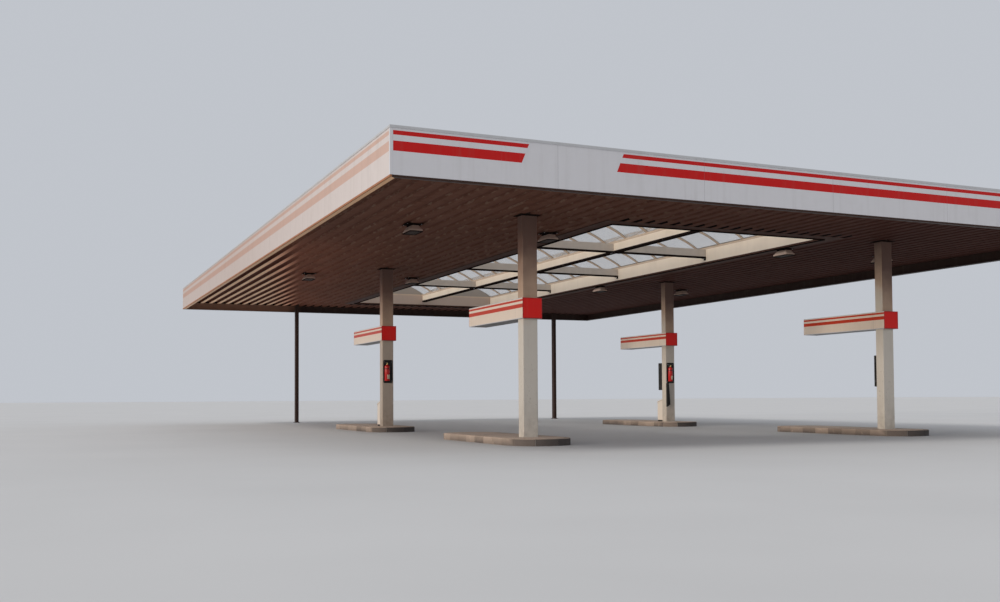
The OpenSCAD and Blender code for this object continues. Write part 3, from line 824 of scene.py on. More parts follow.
# paints: colour, roughness, mottle, streaks and flecks, and then what differs from plain
FINISH = {
    "front fascia": fascia_finish("front fascia sheet", FRONT, bare=True),
    "rear fascia": fascia_finish("rear fascia sheet", REAR),
    # the left fascia carries painted sunlight
    "left fascia": fascia_finish("left fascia sheet", LEFT, LEFT_LIT_RED, LEFT_LIT_WHITE, LEFT_FOLD_LIT,
                                 rear_tint=0.85),
    "right fascia": fascia_finish("right fascia sheet", RIGHT),
    "drip": drip_finish("drip edge coating"),
    "front sign": sign_finish("banded sign panel, front", "sign_box_front_left"),
    "middle sign": sign_finish("banded sign panel, middle", "sign_box_middle_left"),
    "cream": column_finish("cream column paint"),
    "soffit": soffit_finish("brown soffit sheet"),
    "deck": deck_finish("zinc deck sheet"),
    "glazing": glazing_finish("translucent vault sheet"),
    "kerb": kerb_finish("cream kerb paint"),
    "lens": lens_finish("lamp glass"),
    # stone and slab: concrete tones warmed partly as painted sunlight
    "stone": concrete_finish("kerb stone", (0.57, 0.45, 0.365), varied=True),
    "slab": concrete_finish("island slab", (0.62, 0.49, 0.40), joint_pitch=1.0),
    # rail: white ribs greyed partly as painted shade
    "rail": paint("rail coating greyed with painted shade", (0.66, 0.52, 0.40), 0.42, 0.12, 0.05, 0.08),
    # beam: the cross beams' paint darkened as painted shade, a shaded copy of the kerb's cream
    "beam": paint("beam paint with painted shade", (0.64, 0.57, 0.50), 0.45, 0.12, 0.12, 0.05),
    "steel": paint("grey girder primer", (0.30, 0.31, 0.32), 0.60, 0.20, 0.10, 0.15),
    "brown": paint("brown trim coating", BROWN, 0.50, 0.20, 0.05, 0.15,
                   grime=(0.028, 0.018, 0.015), gloss=0.15),
    "lining": paint("dark lining sheet", (0.078, 0.038, 0.028), 0.60, 0.15, 0.0, 0.12,
                    grime=(0.045, 0.026, 0.020), gloss=0.05),
    # post: dark as painted shade
    "post": paint("dark post coating with painted shade", (0.050, 0.030, 0.025), 0.55, 0.15, 0.08, 0.10,
                  grime=(0.030, 0.022, 0.020), gloss=0.1),
    # sole: dark as painted shade, under the beams, round the column heads, on the beam seats and
    # on lamp necks and rims
    "sole": paint("dark coating with painted shade", (0.016, 0.011, 0.010), 0.60, 0.10, 0.0, 0.10,
                  grime=(0.035, 0.027, 0.024), gloss=0.0),
    # foam: black closures and bead, partly painted shade
    "foam": paint("black foam with painted shade", (0.006, 0.005, 0.005), 0.95, 0.10, 0.0, 0.05,
                  grime=(0.015, 0.012, 0.011), gloss=0.0),
    "coping": paint("grey coping sheet", (0.46, 0.47, 0.49), 0.42, 0.12, 0.10, 0.08),
    "trim": paint("white corner trim", WHITE, 0.42, 0.05, 0.14, 0.04),
    "bolt": paint("zinc plated bolt", (0.45, 0.45, 0.46), 0.35, 0.15, 0.0, 0.10, metallic=0.9),
    "black": paint("black moulding", (0.016, 0.015, 0.015), 0.48, 0.10, 0.04, 0.12,
                   grime=(0.07, 0.062, 0.055), height=0.0004, gloss=0.2),
    "rubber": paint("black rubber", (0.017, 0.017, 0.018), 0.70, 0.10, 0.0, 0.15,
                    grime=(0.08, 0.075, 0.07), height=0.0005),
    "red": paint("red enamel", (0.52, 0.014, 0.012), 0.24, 0.05, 0.04, 0.06,
                 grime=(0.22, 0.05, 0.04)),
    "label": paint("pale blank label", (0.72, 0.58, 0.42), 0.50, 0.08, 0.05, 0.05),
    "brass": paint("brass valve", (0.62, 0.47, 0.20), 0.30, 0.15, 0.0, 0.10, metallic=1.0),
    "pale": paint("pale box coating", (0.76, 0.69, 0.61), 0.42, 0.07, 0.12, 0.05),
    # enamel: light grey, its warm tint partly painted shade
    "enamel": paint("light grey lamp enamel with painted shade", (0.62, 0.46, 0.38), 0.50, 0.10, 0.05, 0.08, gloss=0.1),
    "mortar": paint("pale mortar", (0.46, 0.43, 0.40), 0.85, 0.15, 0.0, 0.10, height=0.0006),
    "gasket": paint("grey sealing strip", (0.14, 0.14, 0.145), 0.75, 0.10, 0.0, 0.10),
}

# the finish of each CAD node that stays in view, by the start of the node's name
NODE_FINISH = {
    "column": "cream", "rear_post": "post", "girder": "steel", "rear_beam": "steel",
    "soffit": "soffit", "roof_deck": "deck", "kerb": "kerb", "middle_beam": "kerb",
    "cross_beam": "beam", "sill_rails": "rail", "vault_ribs": "rail",
    "vault_glazing": "glazing", "sign_box_front": "front sign",
    "sign_box_middle": "middle sign", "fascia_front": "front fascia",
    "fascia_rear": "rear fascia", "fascia_left": "left fascia", "fascia_right": "right fascia",
}


def dress_nodes():
    """Gives each CAD node that stays in view its finish."""
    for node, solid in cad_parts.items():
        for start, finish in NODE_FINISH.items():
            if node.startswith(start):
                materials = solid.data.materials
                if not len(materials):
                    materials.append(None)
                for index in range(len(materials)):
                    materials[index] = FINISH[finish]


def piece(name, shape, finish, stands_for=()):
    """A mesh object from a shape, facing outwards, riding on the canopy's body. Edges
    sharper than the crease angle stay sharp."""
    crease = math.radians(30)
    verts, groups = shape
    sizes = np.concatenate([np.full(len(g), g.shape[1]) for g in groups])
    loops = np.concatenate([g.ravel() for g in groups])
    mesh = bpy.data.meshes.new(name)
    mesh.vertices.add(len(verts))
    mesh.vertices.foreach_set("co", verts.astype(np.float32).ravel())
    mesh.loops.add(len(loops))
    mesh.loops.foreach_set("vertex_index", loops.astype(np.int32))
    mesh.polygons.add(len(sizes))
    mesh.polygons.foreach_set("loop_start", (np.cumsum(sizes) - sizes).astype(np.int32))
    mesh.update(calc_edges=True)
    outward = bmesh.new()
    outward.from_mesh(mesh)
    bmesh.ops.recalc_face_normals(outward, faces=outward.faces)
    outward.to_mesh(mesh)
    outward.free()
    mesh.polygons.foreach_set("use_smooth", np.ones(len(mesh.polygons), bool))
    mesh.set_sharp_from_angle(angle=crease)
    obj = bpy.data.objects.new(name, mesh)
    bpy.context.scene.collection.objects.link(obj)
    mesh.materials.append(FINISH[finish])
    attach(obj, "root")
    if stands_for:
        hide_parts(*stands_for)
    return obj


# fascia, coping and sheets


def coping_profile(grow=0.0):
    """Folded cap sheet over the coping as (out, up) points from the roof's top edge, from
    the outer drip over the top to the inner leg and back inside. Grow is the extra
    thickness outside."""
    thick = 0.002 + grow
    outer = [(0.008 + grow, -0.044), (thick, -0.036), (thick, 0.0), (0.0, thick + 0.002)]
    inner = [(-COPING_W, thick), (-COPING_W - thick, 0.0), (-COPING_W - thick, -0.032)]
    back = [(-COPING_W - HAIR, -0.032), (-COPING_W - HAIR, HAIR), (HAIR, HAIR)]
    return drawn(outer + inner + back + [(HAIR, -0.036), (0.006, -0.0445)], ROOF_HI[2])


def build_coping():
    """Cap sheets on the fascia, with straps over their joints: the profile carried round
    the roof, and a thicker one carried over each joint."""
    caps = ring_rail(coping_profile(), ROOF_LO, ROOF_HI)
    piece("coping_caps", caps, "coping")
    (x0, y0), (x1, y1) = ROOF_LO[:2], ROOF_HI[:2]
    straps = []
    for start, end, out in (((x0, y0), (x1, y0), FRONT), ((x1, y0), (x1, y1), RIGHT),
                            ((x1, y1), (x0, y1), REAR), ((x0, y1), (x0, y0), LEFT)):
        start, end = np.array(start), np.array(end)
        length = np.linalg.norm(end - start)
        ahead = (end - start) / length
        count = round(length / FASCIA_PANEL)
        for at in np.arange(1, count) * length / count:
            a, b = start + ahead * (at - STRAP_W / 2), start + ahead * (at + STRAP_W / 2)
            straps.append(rail(coping_profile(0.0015), a, b, out[:2]))
    piece("coping_straps", merge(*straps), "coping")


def build_fascia_trims():
    """Corner angles on the four upright corners and a dark drip edge under the fascia."""
    section = angle_section(0.045, 0.0018)
    low, high = ROOF_LO[2] + 0.032, ROOF_HI[2] - 0.046
    plans = [section * (sx, sy) + (x, y) for x, sx in ((ROOF_LO[0], -1), (ROOF_HI[0], 1))
             for y, sy in ((ROOF_LO[1], -1), (ROOF_HI[1], 1))]
    angles = [loft((plan, low), (plan, high)) for plan in plans]
    piece("corner_angles", merge(*angles), "trim")
    drip = drawn([(HAIR, 0.030), (0.003, 0.028), (0.003, -0.004), (0.0, -0.006),
                  (-0.022, -0.006), (-0.022, -HAIR), (HAIR, -HAIR)], ROOF_LO[2])
    piece("drip_edge", ring_rail(drip, ROOF_LO, ROOF_HI), "drip")


def clear_of(places, lo, hi, margin):
    """Those places that lie outside a rectangle in plan, widened by a margin."""
    inside = (places[:, :2] > lo[:2] - margin) & (places[:, :2] < hi[:2] + margin)
    return places[~np.all(inside, 1)]


def build_sheet_screws():
    """Rows of fixing screws on the middle lines of the flats: under the soffit and on the
    deck."""
    spare, at_lining, at_kerb, at_column = 0.06, LINING_W + 0.03, 0.10, 0.02
    x0, x1 = ROOF_LO[0] + PANEL_T - spare, ROOF_HI[0] - PANEL_T - RIB_FLAT + spare
    ribs = np.arange(math.ceil(x0 / RIB_PITCH), math.floor(x1 / RIB_PITCH) + 1)
    xs = ribs * RIB_PITCH + RIB_FLAT / 2
    ys = np.arange(ROOF_LO[1] + 0.35, ROOF_HI[1] - 0.3, SCREW_ROWS)
    below = clear_of(grid_places(xs, ys, SOFFIT_Z), OPEN_LO, OPEN_HI, at_lining)
    for place in PLACES:
        below = clear_of(below, *corners("column_" + place), at_column)
    heads = copies(turned(screw(), 180, "X"), below)
    piece("soffit_screws", heads, "brown")
    above = clear_of(grid_places(xs, ys, DECK_Z + SHEET_T), OPEN_LO, OPEN_HI, at_kerb)
    piece("deck_screws", copies(screw(), above), "bolt")


def build_opening_trims():
    """Flat brown lining under the soffit round the opening, turned up over the sheets' cut
    edge as far as the kerb, and a black drip bead under its inner edge that paints the
    shade line there: two profiles carried round the opening."""
    rise = RIB_TOP_Z - SOFFIT_Z + 0.004
    lining = drawn([(LINING_W, -HAIR), (LINING_W, -0.003), (-0.0025, -0.003), (-0.0025, rise),
                    (-HAIR, rise), (-HAIR, -HAIR)], SOFFIT_Z)
    piece("opening_trim", ring_rail(lining, OPEN_LO, OPEN_HI), "lining")
    bead = drawn([(-0.002, 0.0), (0.016, 0.0), (0.016, -0.0156), (0.0096, -0.026), (0.0, -0.026),
                  (-0.002, -0.0234)], SOFFIT_Z - 0.0035)
    piece("opening_shade_bead", ring_rail(bead, OPEN_LO, OPEN_HI), "foam")


def build_head_collars():
    """Dark collars where the columns pass through the soffit, painting the shade of the gap
    round each column: an angle with its flange against the sheet, carried round each column."""
    collar = drawn([(0.0006, -0.028), (0.010, -0.028), (0.014, -0.014), (COLLAR_W, -0.012),
                    (COLLAR_W, -0.0006), (0.0006, -0.0006)], SOFFIT_Z)
    half = np.array(COLUMN_PLAN) / 2
    middles = [sum(corners("column_" + place))[:2] / 2 for place in PLACES]
    shapes = [ring_rail(collar, middle - half, middle + half) for middle in middles]
    piece("head_shade_collars", merge(*shapes), "sole")


def build_rib_closures():
    """Black foam closures in the ribs' hollows, their black partly painting the shade at the
    ribs' ends: a tapering plug across each hollow, in rows along the opening's lining and
    behind the fascia's fold, front and rear."""
    gap = 0.0015
    hollow = RIB_PITCH - RIB_FLAT
    foot, head = hollow / 2 - gap, hollow / 2 - RIB_SLOPE - gap
    low, high = SOFFIT_Z + HAIR, RIB_TOP_Z - SHEET_T - gap
    side = drawn([(-foot, low), (foot, low), (head, high), (-head, high)])
    plug = rail(side, (0, -PLUG_L / 2), (0, PLUG_L / 2), (1, 0))
    x0, x1 = ROOF_LO[0] + PANEL_T, ROOF_HI[0] - PANEL_T
    ribs = np.arange(math.ceil(x0 / RIB_PITCH), math.floor(x1 / RIB_PITCH))
    middles = ribs * RIB_PITCH + RIB_FLAT + hollow / 2
    at_lining = middles[(OPEN_LO[0] - LINING_W < middles - foot)
                        & (middles + foot < OPEN_HI[0] + LINING_W)]
    inset, ahead = PANEL_T + FOLD_W + PLUG_L / 2, LINING_W + PLUG_L / 2 - 0.010
    places = [grid_places(middles, (ROOF_LO[1] + inset, ROOF_HI[1] - inset), 0),
              grid_places(at_lining, (OPEN_LO[1] - ahead, OPEN_HI[1] + ahead), 0)]
    piece("rib_closures", copies(plug, np.concatenate(places)), "foam")


def build_deck_flashing():
    """Flashing on the deck: round the kerb, and along the fascia's inner faces."""
    top = KERB_HI[2] - DECK_TOP_Z - 0.002
    apron = drawn([(HAIR, top), (0.0025, top), (0.003, 0.006), (0.160, 0.003),
                   (0.160, 0.0006), (HAIR, 0.0006)], DECK_TOP_Z)
    upstand = drawn([(0.0, 0.120), (-0.002, 0.120), (-0.004, 0.006), (-0.110, 0.003),
                     (-0.110, 0.0006), (0.0, 0.0006)], DECK_TOP_Z, -PANEL_T - HAIR)
    shape = merge(ring_rail(apron, KERB_LO, KERB_HI), ring_rail(upstand, ROOF_LO, ROOF_HI))
    piece("deck_flashing", shape, "coping")


# roof opening


def sole_profile(half, low, up):
    """Channel under a beam of the given half width: a sole and two short legs."""
    inner, outer = half + HAIR, half + 0.0025
    return drawn([(-inner, up), (-outer, up), (-outer, -0.004), (outer, -0.004), (outer, up),
                  (inner, up), (inner, -HAIR), (-inner, -HAIR)], low)


def build_beam_soles():
    """Dark soles under the beams that cross the opening, painting the shade on their
    undersides, turned up a little on both sides: a channel carried along each beam."""
    beam_lo, beam_hi = corners("middle_beam")
    half, x = (beam_hi[0] - beam_lo[0]) / 2, (beam_lo[0] + beam_hi[0]) / 2
    shapes = [rail(sole_profile(half, beam_lo[2], 0.048), (x, beam_lo[1] + 0.001),
                   (x, beam_hi[1] - 0.001), (1, 0))]
    for node in CROSS_BEAMS:
        lo, hi = corners(node)
        section = sole_profile((hi[1] - lo[1]) / 2, lo[2], 0.038)
        y = (lo[1] + hi[1]) / 2
        shapes += [rail(section, (x0 + 0.004, y), (x1 - 0.004, y), (0, 1))
                   for x0, x1 in ((lo[0], beam_lo[0]), (beam_hi[0], hi[0]))]
    piece("beam_shade_soles", merge(*shapes), "sole")


def build_beam_seats():
    """Seats under the ends of the cross beams, each with two bolts. On the kerb a seat is
    an angle with an upright leg; at the middle beam it is a plate."""
    beam_lo, beam_hi = corners("middle_beam")
    angle = drawn([(HAIR, 0.0), (0.085, 0.0), (0.085, -0.008), (0.012, -0.008),
                   (0.008, -0.012), (0.008, -0.060), (HAIR, -0.060)])
    bolt = turned(hex_bolt(0.022, 0.013, 0.006), 180, "X")
    seats, bolts = [], []
    for node in CROSS_BEAMS:
        lo, hi = corners(node)
        mid, under = (lo[1] + hi[1]) / 2, lo[2] - 0.0045
        for face, out, section in ((lo[0], 1, angle), (beam_lo[0], -1, angle[:4]),
                                   (beam_hi[0], 1, angle[:4]), (hi[0], -1, angle)):
            section = section * (out, 1) + (0, under)
            seats.append(rail(section, (face, mid - 0.050), (face, mid + 0.050), (1, 0)))
            heads = [(face + out * 0.050, mid + dy, under - 0.008) for dy in (-0.028, 0.028)]
            bolts.append(copies(bolt, heads))
    # the seats share the dark finish of painted shade
    piece("beam_seats", merge(*seats), "sole")
    piece("beam_bolts", merge(*bolts), "bolt")


def build_vault_bars():
    """Cover bars over the vaults' glazing, one on each rib and at both ends, with cover
    rails along the sills. Radius from half the span and the rise of the arc."""
    span = (SILL_HI[0] - SILL_LO[0] - VAULT_GAP) / 2
    rise = corners("vault_glazing_left")[1][2] - SILL_HI[2] - GLAZING_T
    radius = ((span / 2) ** 2 + rise ** 2) / (2 * rise)
    reach = math.asin(span / 2 / radius)
    centre_z = SILL_HI[2] - (radius - rise)
    step = (SILL_HI[1] - SILL_LO[1] - RIB_BAR) / VAULT_BAYS
    ys = SILL_LO[1] + RIB_BAR / 2 + step * np.arange(VAULT_BAYS + 1)
    bar_t, near = 0.005, radius + GLAZING_T + 0.0003
    seal = drawn([(0.012, -0.004), (0.014, -0.002), (0.010, 0.020), (-0.030, 0.038),
                  (-0.032, 0.032), (0.002, 0.012), (0.002, -0.004)], SILL_HI[2])
    for side, s, foot_x in (("left", -1, SILL_LO[0]), ("right", 1, SILL_HI[0])):
        x = foot_x - s * span / 2
        parts = [arch((x, y, centre_z), near, reach - 0.006, 0.050, bar_t) for y in ys]
        for angle in np.linspace(-reach + 0.06, reach - 0.06, 7):
            away = near + bar_t
            spot = (x + away * math.sin(angle), 0, centre_z + away * math.cos(angle))
            head = moved(turned(screw(), math.degrees(angle), "Y"), spot)
            parts.append(copies(head, grid_places([0], ys, 0)))
        piece("glazing_bars_" + side, merge(*parts), "coping")
        cover = rail(seal * (s, 1), (foot_x, SILL_LO[1] + 0.004), (foot_x, SILL_HI[1] - 0.004),
                     (1, 0))
        piece("sill_seal_" + side, cover, "coping")


# islands


def kerb_run(half):
    """Outer line of an island by distance along it: a closed rounded rectangle, sampled
    finely, with its outward direction. Returns a function of the distance, and the whole
    length."""
    plan = outline(half[0], half[1], ISLAND_R, 24)
    plan = np.vstack([plan, plan[:1]])
    length = np.concatenate([[0], np.cumsum(np.linalg.norm(np.diff(plan, axis=0), axis=1))])

    def point(distance):
        wrapped = np.mod(distance, length[-1])
        return np.column_stack([np.interp(wrapped, length, plan[:, k]) for k in (0, 1)])

    def at(distance):
        here = point(distance)
        ahead = point(distance + 0.004) - here
        ahead /= np.linalg.norm(ahead, axis=1, keepdims=True)
        return here, np.column_stack([ahead[:, 1], -ahead[:, 0]])

    return at, length[-1]


def build_island(place):
    """Kerb stones set round a slab, in a bed of mortar. Each stone carries one eased
    section along its share of the island's outline; slab and bed are lofts inside them."""
    lo, hi = corners("island_" + place)
    half, top, spot = (hi - lo) / 2, hi[2], (*(lo + hi)[:2] / 2, 0)
    at, around = kerb_run(half)
    turn = np.linspace(0, np.pi / 2, 6)
    nose = drawn(np.column_stack([np.cos(turn) - 1, np.sin(turn) - 1]) * STONE_EASE, top)
    back = [(0.004 - STONE_W, top), (-STONE_W, top - 0.004), (-STONE_W, 0)]
    section = np.vstack([[(0, 0)], nose, back])
    count = round(around / STONE_L)
    share = around / count
    stones = []
    for index in range(count):
        start, end = index * share + STONE_JOINT / 2, (index + 1) * share - STONE_JOINT / 2
        here, out = at(np.linspace(start, end, 9))
        stones.append(carried(section, here, out))
    kerb = piece("kerb_stones_" + place, moved(merge(*stones), spot), "stone",
                 ["island_" + place])
    own = np.random.default_rng(PLACES.index(place) + 3).random(count) ** 1.5
    tones = np.repeat(own, len(kerb.data.polygons) // count).astype(np.float32)
    kerb.data.attributes.new("tone", "FLOAT", "FACE").data.foreach_set("value", tones)
    for name, finish, layers in (
            ("island_slab_", "slab", ((STONE_W + 0.006, 0.0), (STONE_W + 0.006, top - 0.006),
                                      (STONE_W + 0.012, top))),
            ("kerb_mortar_", "mortar", ((0.006, 0.0), (0.006, top - 0.016),
                                        (STONE_W + 0.02, top - 0.012)))):
        rows = [(inset, ISLAND_R - inset, z) for inset, z in layers]
        piece(name + place, moved(tiers(half, rows, 10), spot), finish)


# fittings


def build_sign_trims():
    """Slim corner profiles along the sign boxes' four long edges and rims round the red
    ends, each a small section carried along its edge. A rim is carried in plan and then
    stood up, with Y and Z exchanged."""
    section = angle_section(0.014, 0.0016)
    lip = drawn([(0.0016, 0.0), (0.0016, 0.0022), (-0.016, 0.0022), (-0.020, 0.0003),
                 (0.0, 0.0003), (0.0, 0.0)])
    longs, rims = [], []
    for place in PLACES:
        lo, hi = corners("sign_box_" + place)
        for x, sx in ((lo[0], -1), (hi[0], 1)):
            for z, sz in ((lo[2], -1), (hi[2], 1)):
                longs.append(rail(section * (sx, sz) + (0, z), (x, lo[1] + 0.002),
                                  (x, hi[1] - 0.002), (1, 0)))
        verts, faces = ring_rail(lip, (lo[0], lo[2]), (hi[0], hi[2]))
        rims += [(verts[:, [0, 2, 1]] * (1, s, 1) + (0, y, 0), faces)
                 for y, s in ((lo[1], -1), (hi[1], 1))]
    piece("sign_edge_profiles", merge(*longs), "trim")
    piece("sign_end_rims", merge(*rims), "red")


def build_lamps():
    """Soffit lamps, all alike: a fixing plate and neck with bolts, a flared body lofted
    through rounded outlines, a dark rim and the glass in it. Neck, rim and glass are dark
    as painted shade."""
    nodes = ["lamps_" + place for place in PLACES]
    lo, hi = corners(nodes[0])
    top, neck, plate = hi[2] - lo[2], hi[2] - lo[2] - 0.050, hi[2] - lo[2] - 0.010
    half, rim = (LAMP_HALF_X, (hi[1] - lo[1]) / 2), LAMP_RIM_H
    outset = (RIB_PITCH + 0.06) / 2
    body = tiers(half, ((0.010, 0.030, rim), (0.010, 0.030, rim + 0.030),
                        (0.030, 0.030, rim + 0.052), (LAMP_FLARE, 0.025, neck - 0.012),
                        (LAMP_FLARE + 0.012, 0.020, neck)), 5)
    rim_ring = tiers(half, ((0.026, 0.020, rim - 0.002), (0.026, 0.020, 0.002),
                            (0.004, 0.030, 0.0), (0.0, 0.032, 0.005),
                            (0.0, 0.032, rim - 0.002), (0.010, 0.030, rim)), 5)
    pane = outline(half[0] - 0.026, half[1] - 0.026, 0.020, 5)
    glass = loft((pane * 0.90, 0.006), (pane, 0.010), (pane, 0.016))
    stem = block((-0.080, -0.180, neck + 0.0003), (0.080, 0.180, plate), 0.006)
    stem = merge(stem, block((-outset, -0.190, plate), (outset, 0.190, top - 0.0003), 0.003))
    heads = [(x, y, plate) for x in (-0.165, 0.165) for y in (-0.150, 0.150)]
    bolts = copies(turned(hex_bolt(), 180, "X"), heads)
    spots = []
    for lo, hi in (corners(node) for node in nodes):
        spots += [(x, (lo[1] + hi[1]) / 2, lo[2]) for x in (lo[0] + outset, hi[0] - outset)]
    piece("lamp_bodies", copies(body, spots), "enamel", nodes)
    for name, shape, finish in (("lamp_frames", rim_ring, "sole"), ("lamp_necks", stem, "sole"),
                                ("lamp_glasses", glass, "lens"), ("lamp_bolts", bolts, "bolt")):
        piece(name, copies(shape, spots), finish)


def bottle():
    """Pressure bottle standing on the origin: foot, upright wall, a shoulder that follows
    an elliptic arc, and neck, all revolved."""
    wall_top = 0.430
    dome = [(0.018 + 0.057 * math.cos(a), wall_top + 0.044 * math.sin(a))
            for a in np.linspace(0, math.radians(72), 8)[1:]]
    return revolve([(0.058, 0.004), (0.064, 0.0), (0.071, 0.004), (BOTTLE_R, 0.014),
                    (BOTTLE_R, wall_top), *dome, (0.022, 0.478), (0.022, 0.490)], 40)


def bottle_label():
    """Blank label: a thin section carried round part of the bottle's wall."""
    turn = np.linspace(math.radians(-105), math.radians(-25), 14)[:, None]
    away = BOTTLE_R + np.array([[0.0002, 0.0014, 0.0014, 0.0002]])
    height = np.broadcast_to([[0.060, 0.060, 0.185, 0.185]], (14, 4))
    return skin(np.stack([away * np.cos(turn), away * np.sin(turn), height], -1))


def bottle_valve():
    """Revolved valve with a gauge that faces forwards and the ring of the pin."""
    valve = revolve([(0.017, 0.488), (0.021, 0.492), (0.021, 0.512), (0.014, 0.516),
                     (0.014, 0.540), (0.010, 0.545)], 20)
    gauge = revolve([(0.006, 0.0), (0.016, 0.004), (0.018, 0.006), (0.018, 0.014),
                     (0.015, 0.016)], 20)
    ring = tube(curve([(0.0, -0.02, 0.536), (0.0, -0.05, 0.55), (0.02, -0.05, 0.50),
                       (0.0, -0.02, 0.52)], 14), 0.0022, 6)
    return merge(valve, moved(turned(gauge, 90, "X"), (0, -0.012, 0.520)), ring)


def bottle_levers():
    """The two levers over the valve, which point to the left."""
    return merge(lever((0.010, 0, 0.545), (-0.105, 0, 0.572), 0.020, 0.006),
                 lever((0.014, 0, 0.522), (-0.095, 0, 0.512), 0.018, 0.006))


def bottle_hose():
    """Hose swept along a smooth curve from the valve down to a revolved horn."""
    end = (0.094, 0.004, 0.060)
    path = curve([(0.014, 0, 0.505), (0.085, 0.0, 0.520), (0.120, 0.006, 0.420),
                  (0.112, 0.012, 0.250), (0.098, 0.010, 0.120), end], 40)
    horn = revolve([(0.022, -0.122), (0.024, -0.120), (0.014, -0.050), (0.014, -0.010),
                    (0.012, 0.0)], 16)
    return merge(tube(path, 0.011, 12), moved(horn, (end[0], end[1], end[2] + 0.012)))


def bottle_holder(back):
    """Two brackets from the bottle's wall back to the board, and a strap round it."""
    band_in, band_out = BOTTLE_R + 0.0022, BOTTLE_R + 0.004
    strap = revolve([(band_in, 0.352), (band_out, 0.354), (band_out, 0.372), (band_in, 0.374)],
                    40)
    return merge(block((-0.080, 0.060, 0.020), (0.080, back, 0.050), 0.003),
                 block((-0.020, 0.055, 0.340), (0.020, back, 0.390), 0.003), strap)


def build_extinguisher(side):
    """A charged bottle with its fittings on a rounded board. The fittings are drawn from
    the middle of the bottle's foot. The right one is the left one moved by the distance
    between their columns."""
    lo, hi = corners("extinguisher_left")
    apart = corners("column_middle_" + side)[0][0] - corners("column_middle_left")[0][0]
    lo, hi = lo + (apart, 0, 0), hi + (apart, 0, 0)
    middle, half = (lo + hi) / 2, (hi - lo) / 2
    spot = np.array([middle[0] + BOTTLE_SHIFT, lo[1] + BOTTLE_R, lo[2] + BOTTLE_LIFT])
    board_face = hi[1] - BOARD_T
    board = tiers((half[0], half[2]), ((0, 0.045, 0.0), (0, 0.045, 0.009),
                                       (0.003, 0.042, BOARD_T)), 8)
    board = moved(turned(board, 90, "X"), (middle[0], hi[1], middle[2]) - spot)
    heads = [(middle[0] + x, board_face, z) - spot
             for x in (-0.120, 0.120) for z in (lo[2] + 0.06, hi[2] - 0.06)]
    screws = copies(turned(screw(), 90, "X"), heads)
    node = "extinguisher_" + side
    piece("bottle_" + side, moved(bottle(), spot), "red", [node])
    board = merge(board, bottle_holder(board_face - spot[1]))
    for name, shape, finish in (("bottle_label_", bottle_label(), "label"),
                                ("valve_", bottle_valve(), "brass"),
                                ("levers_", bottle_levers(), "bolt"),
                                ("hose_", bottle_hose(), "rubber"),
                                ("board_", board, "black"), ("board_screws_", screws, "bolt")):
        piece(name + side, moved(shape, spot), finish)


def build_wiper_holder():
    """Deep black holder for a wiper under the right extinguisher: its slanted outline is
    drawn on the column's face and lofted forwards to a front drawn in at its edges."""
    middle = sum(corners("column_middle_right"))[0] / 2
    lo, hi = corners("extinguisher_right")
    low, top, back, front = lo[2], WALL_BOARD_Z - 0.001, hi[1], hi[1] - 0.060
    side = drawn([(-0.170, low), (-0.040, low + 0.080), (-0.092, top), (-0.170, top)], 0, middle)
    centre = side.mean(0)
    small = centre + (side - centre) * 0.93
    shape = loft((side, back), (side, front + 0.006), (small, front), axis=1)
    piece("wiper_holder", shape, "black")


def build_wall_box(place):
    """Dark closed box on the rear of a column: a rounded case, a lid with a lapped edge
    and a raised field, hinges and a latch."""
    node = "wall_box_" + place
    (x0, y0, z0), (x1, y1, z1) = corners(node)
    split, mid_z = y0 + 0.62 * (y1 - y0), (z0 + z1) / 2
    case = merge(
        block((x0 + 0.004, y0, z0 + 0.004), (x1 - 0.004, split - 0.003, z1 - 0.004), 0.006,
              0.018, 4),
        block((x0, split, z0), (x1, y1, z1), 0.009, 0.022, 5),
        block((x0 + 0.030, y1 - 0.004, z0 + 0.035), (x1 - 0.030, y1 + 0.004, z1 - 0.035), 0.003,
              0.010, 3))
    hinges = [tube([(x0 - 0.002, split - 0.002, z + dz) for dz in (-0.035, 0, 0.035)], 0.007,
                   10, (1, 0, 0)) for z in (z0 + 0.14, z1 - 0.14)]
    latch = block((x1 - 0.014, split - 0.030, mid_z - 0.035),
                  (x1 + 0.006, split + 0.026, mid_z + 0.035), 0.004)
    piece("case_" + node, case, "black", [node])
    piece("fittings_" + node, merge(*hinges, latch), "gasket")


def across(side_view, x0, x1, edge):
    """Outline of (y, z) points carried along X, with both end faces drawn in by an edge."""
    middle = side_view.mean(0)
    small = middle + (side_view - middle) * (1 - 2 * edge / np.ptp(side_view, axis=0))
    return loft((small, x0), (side_view, x0 + edge), (side_view, x1 - edge), (small, x1), axis=0)


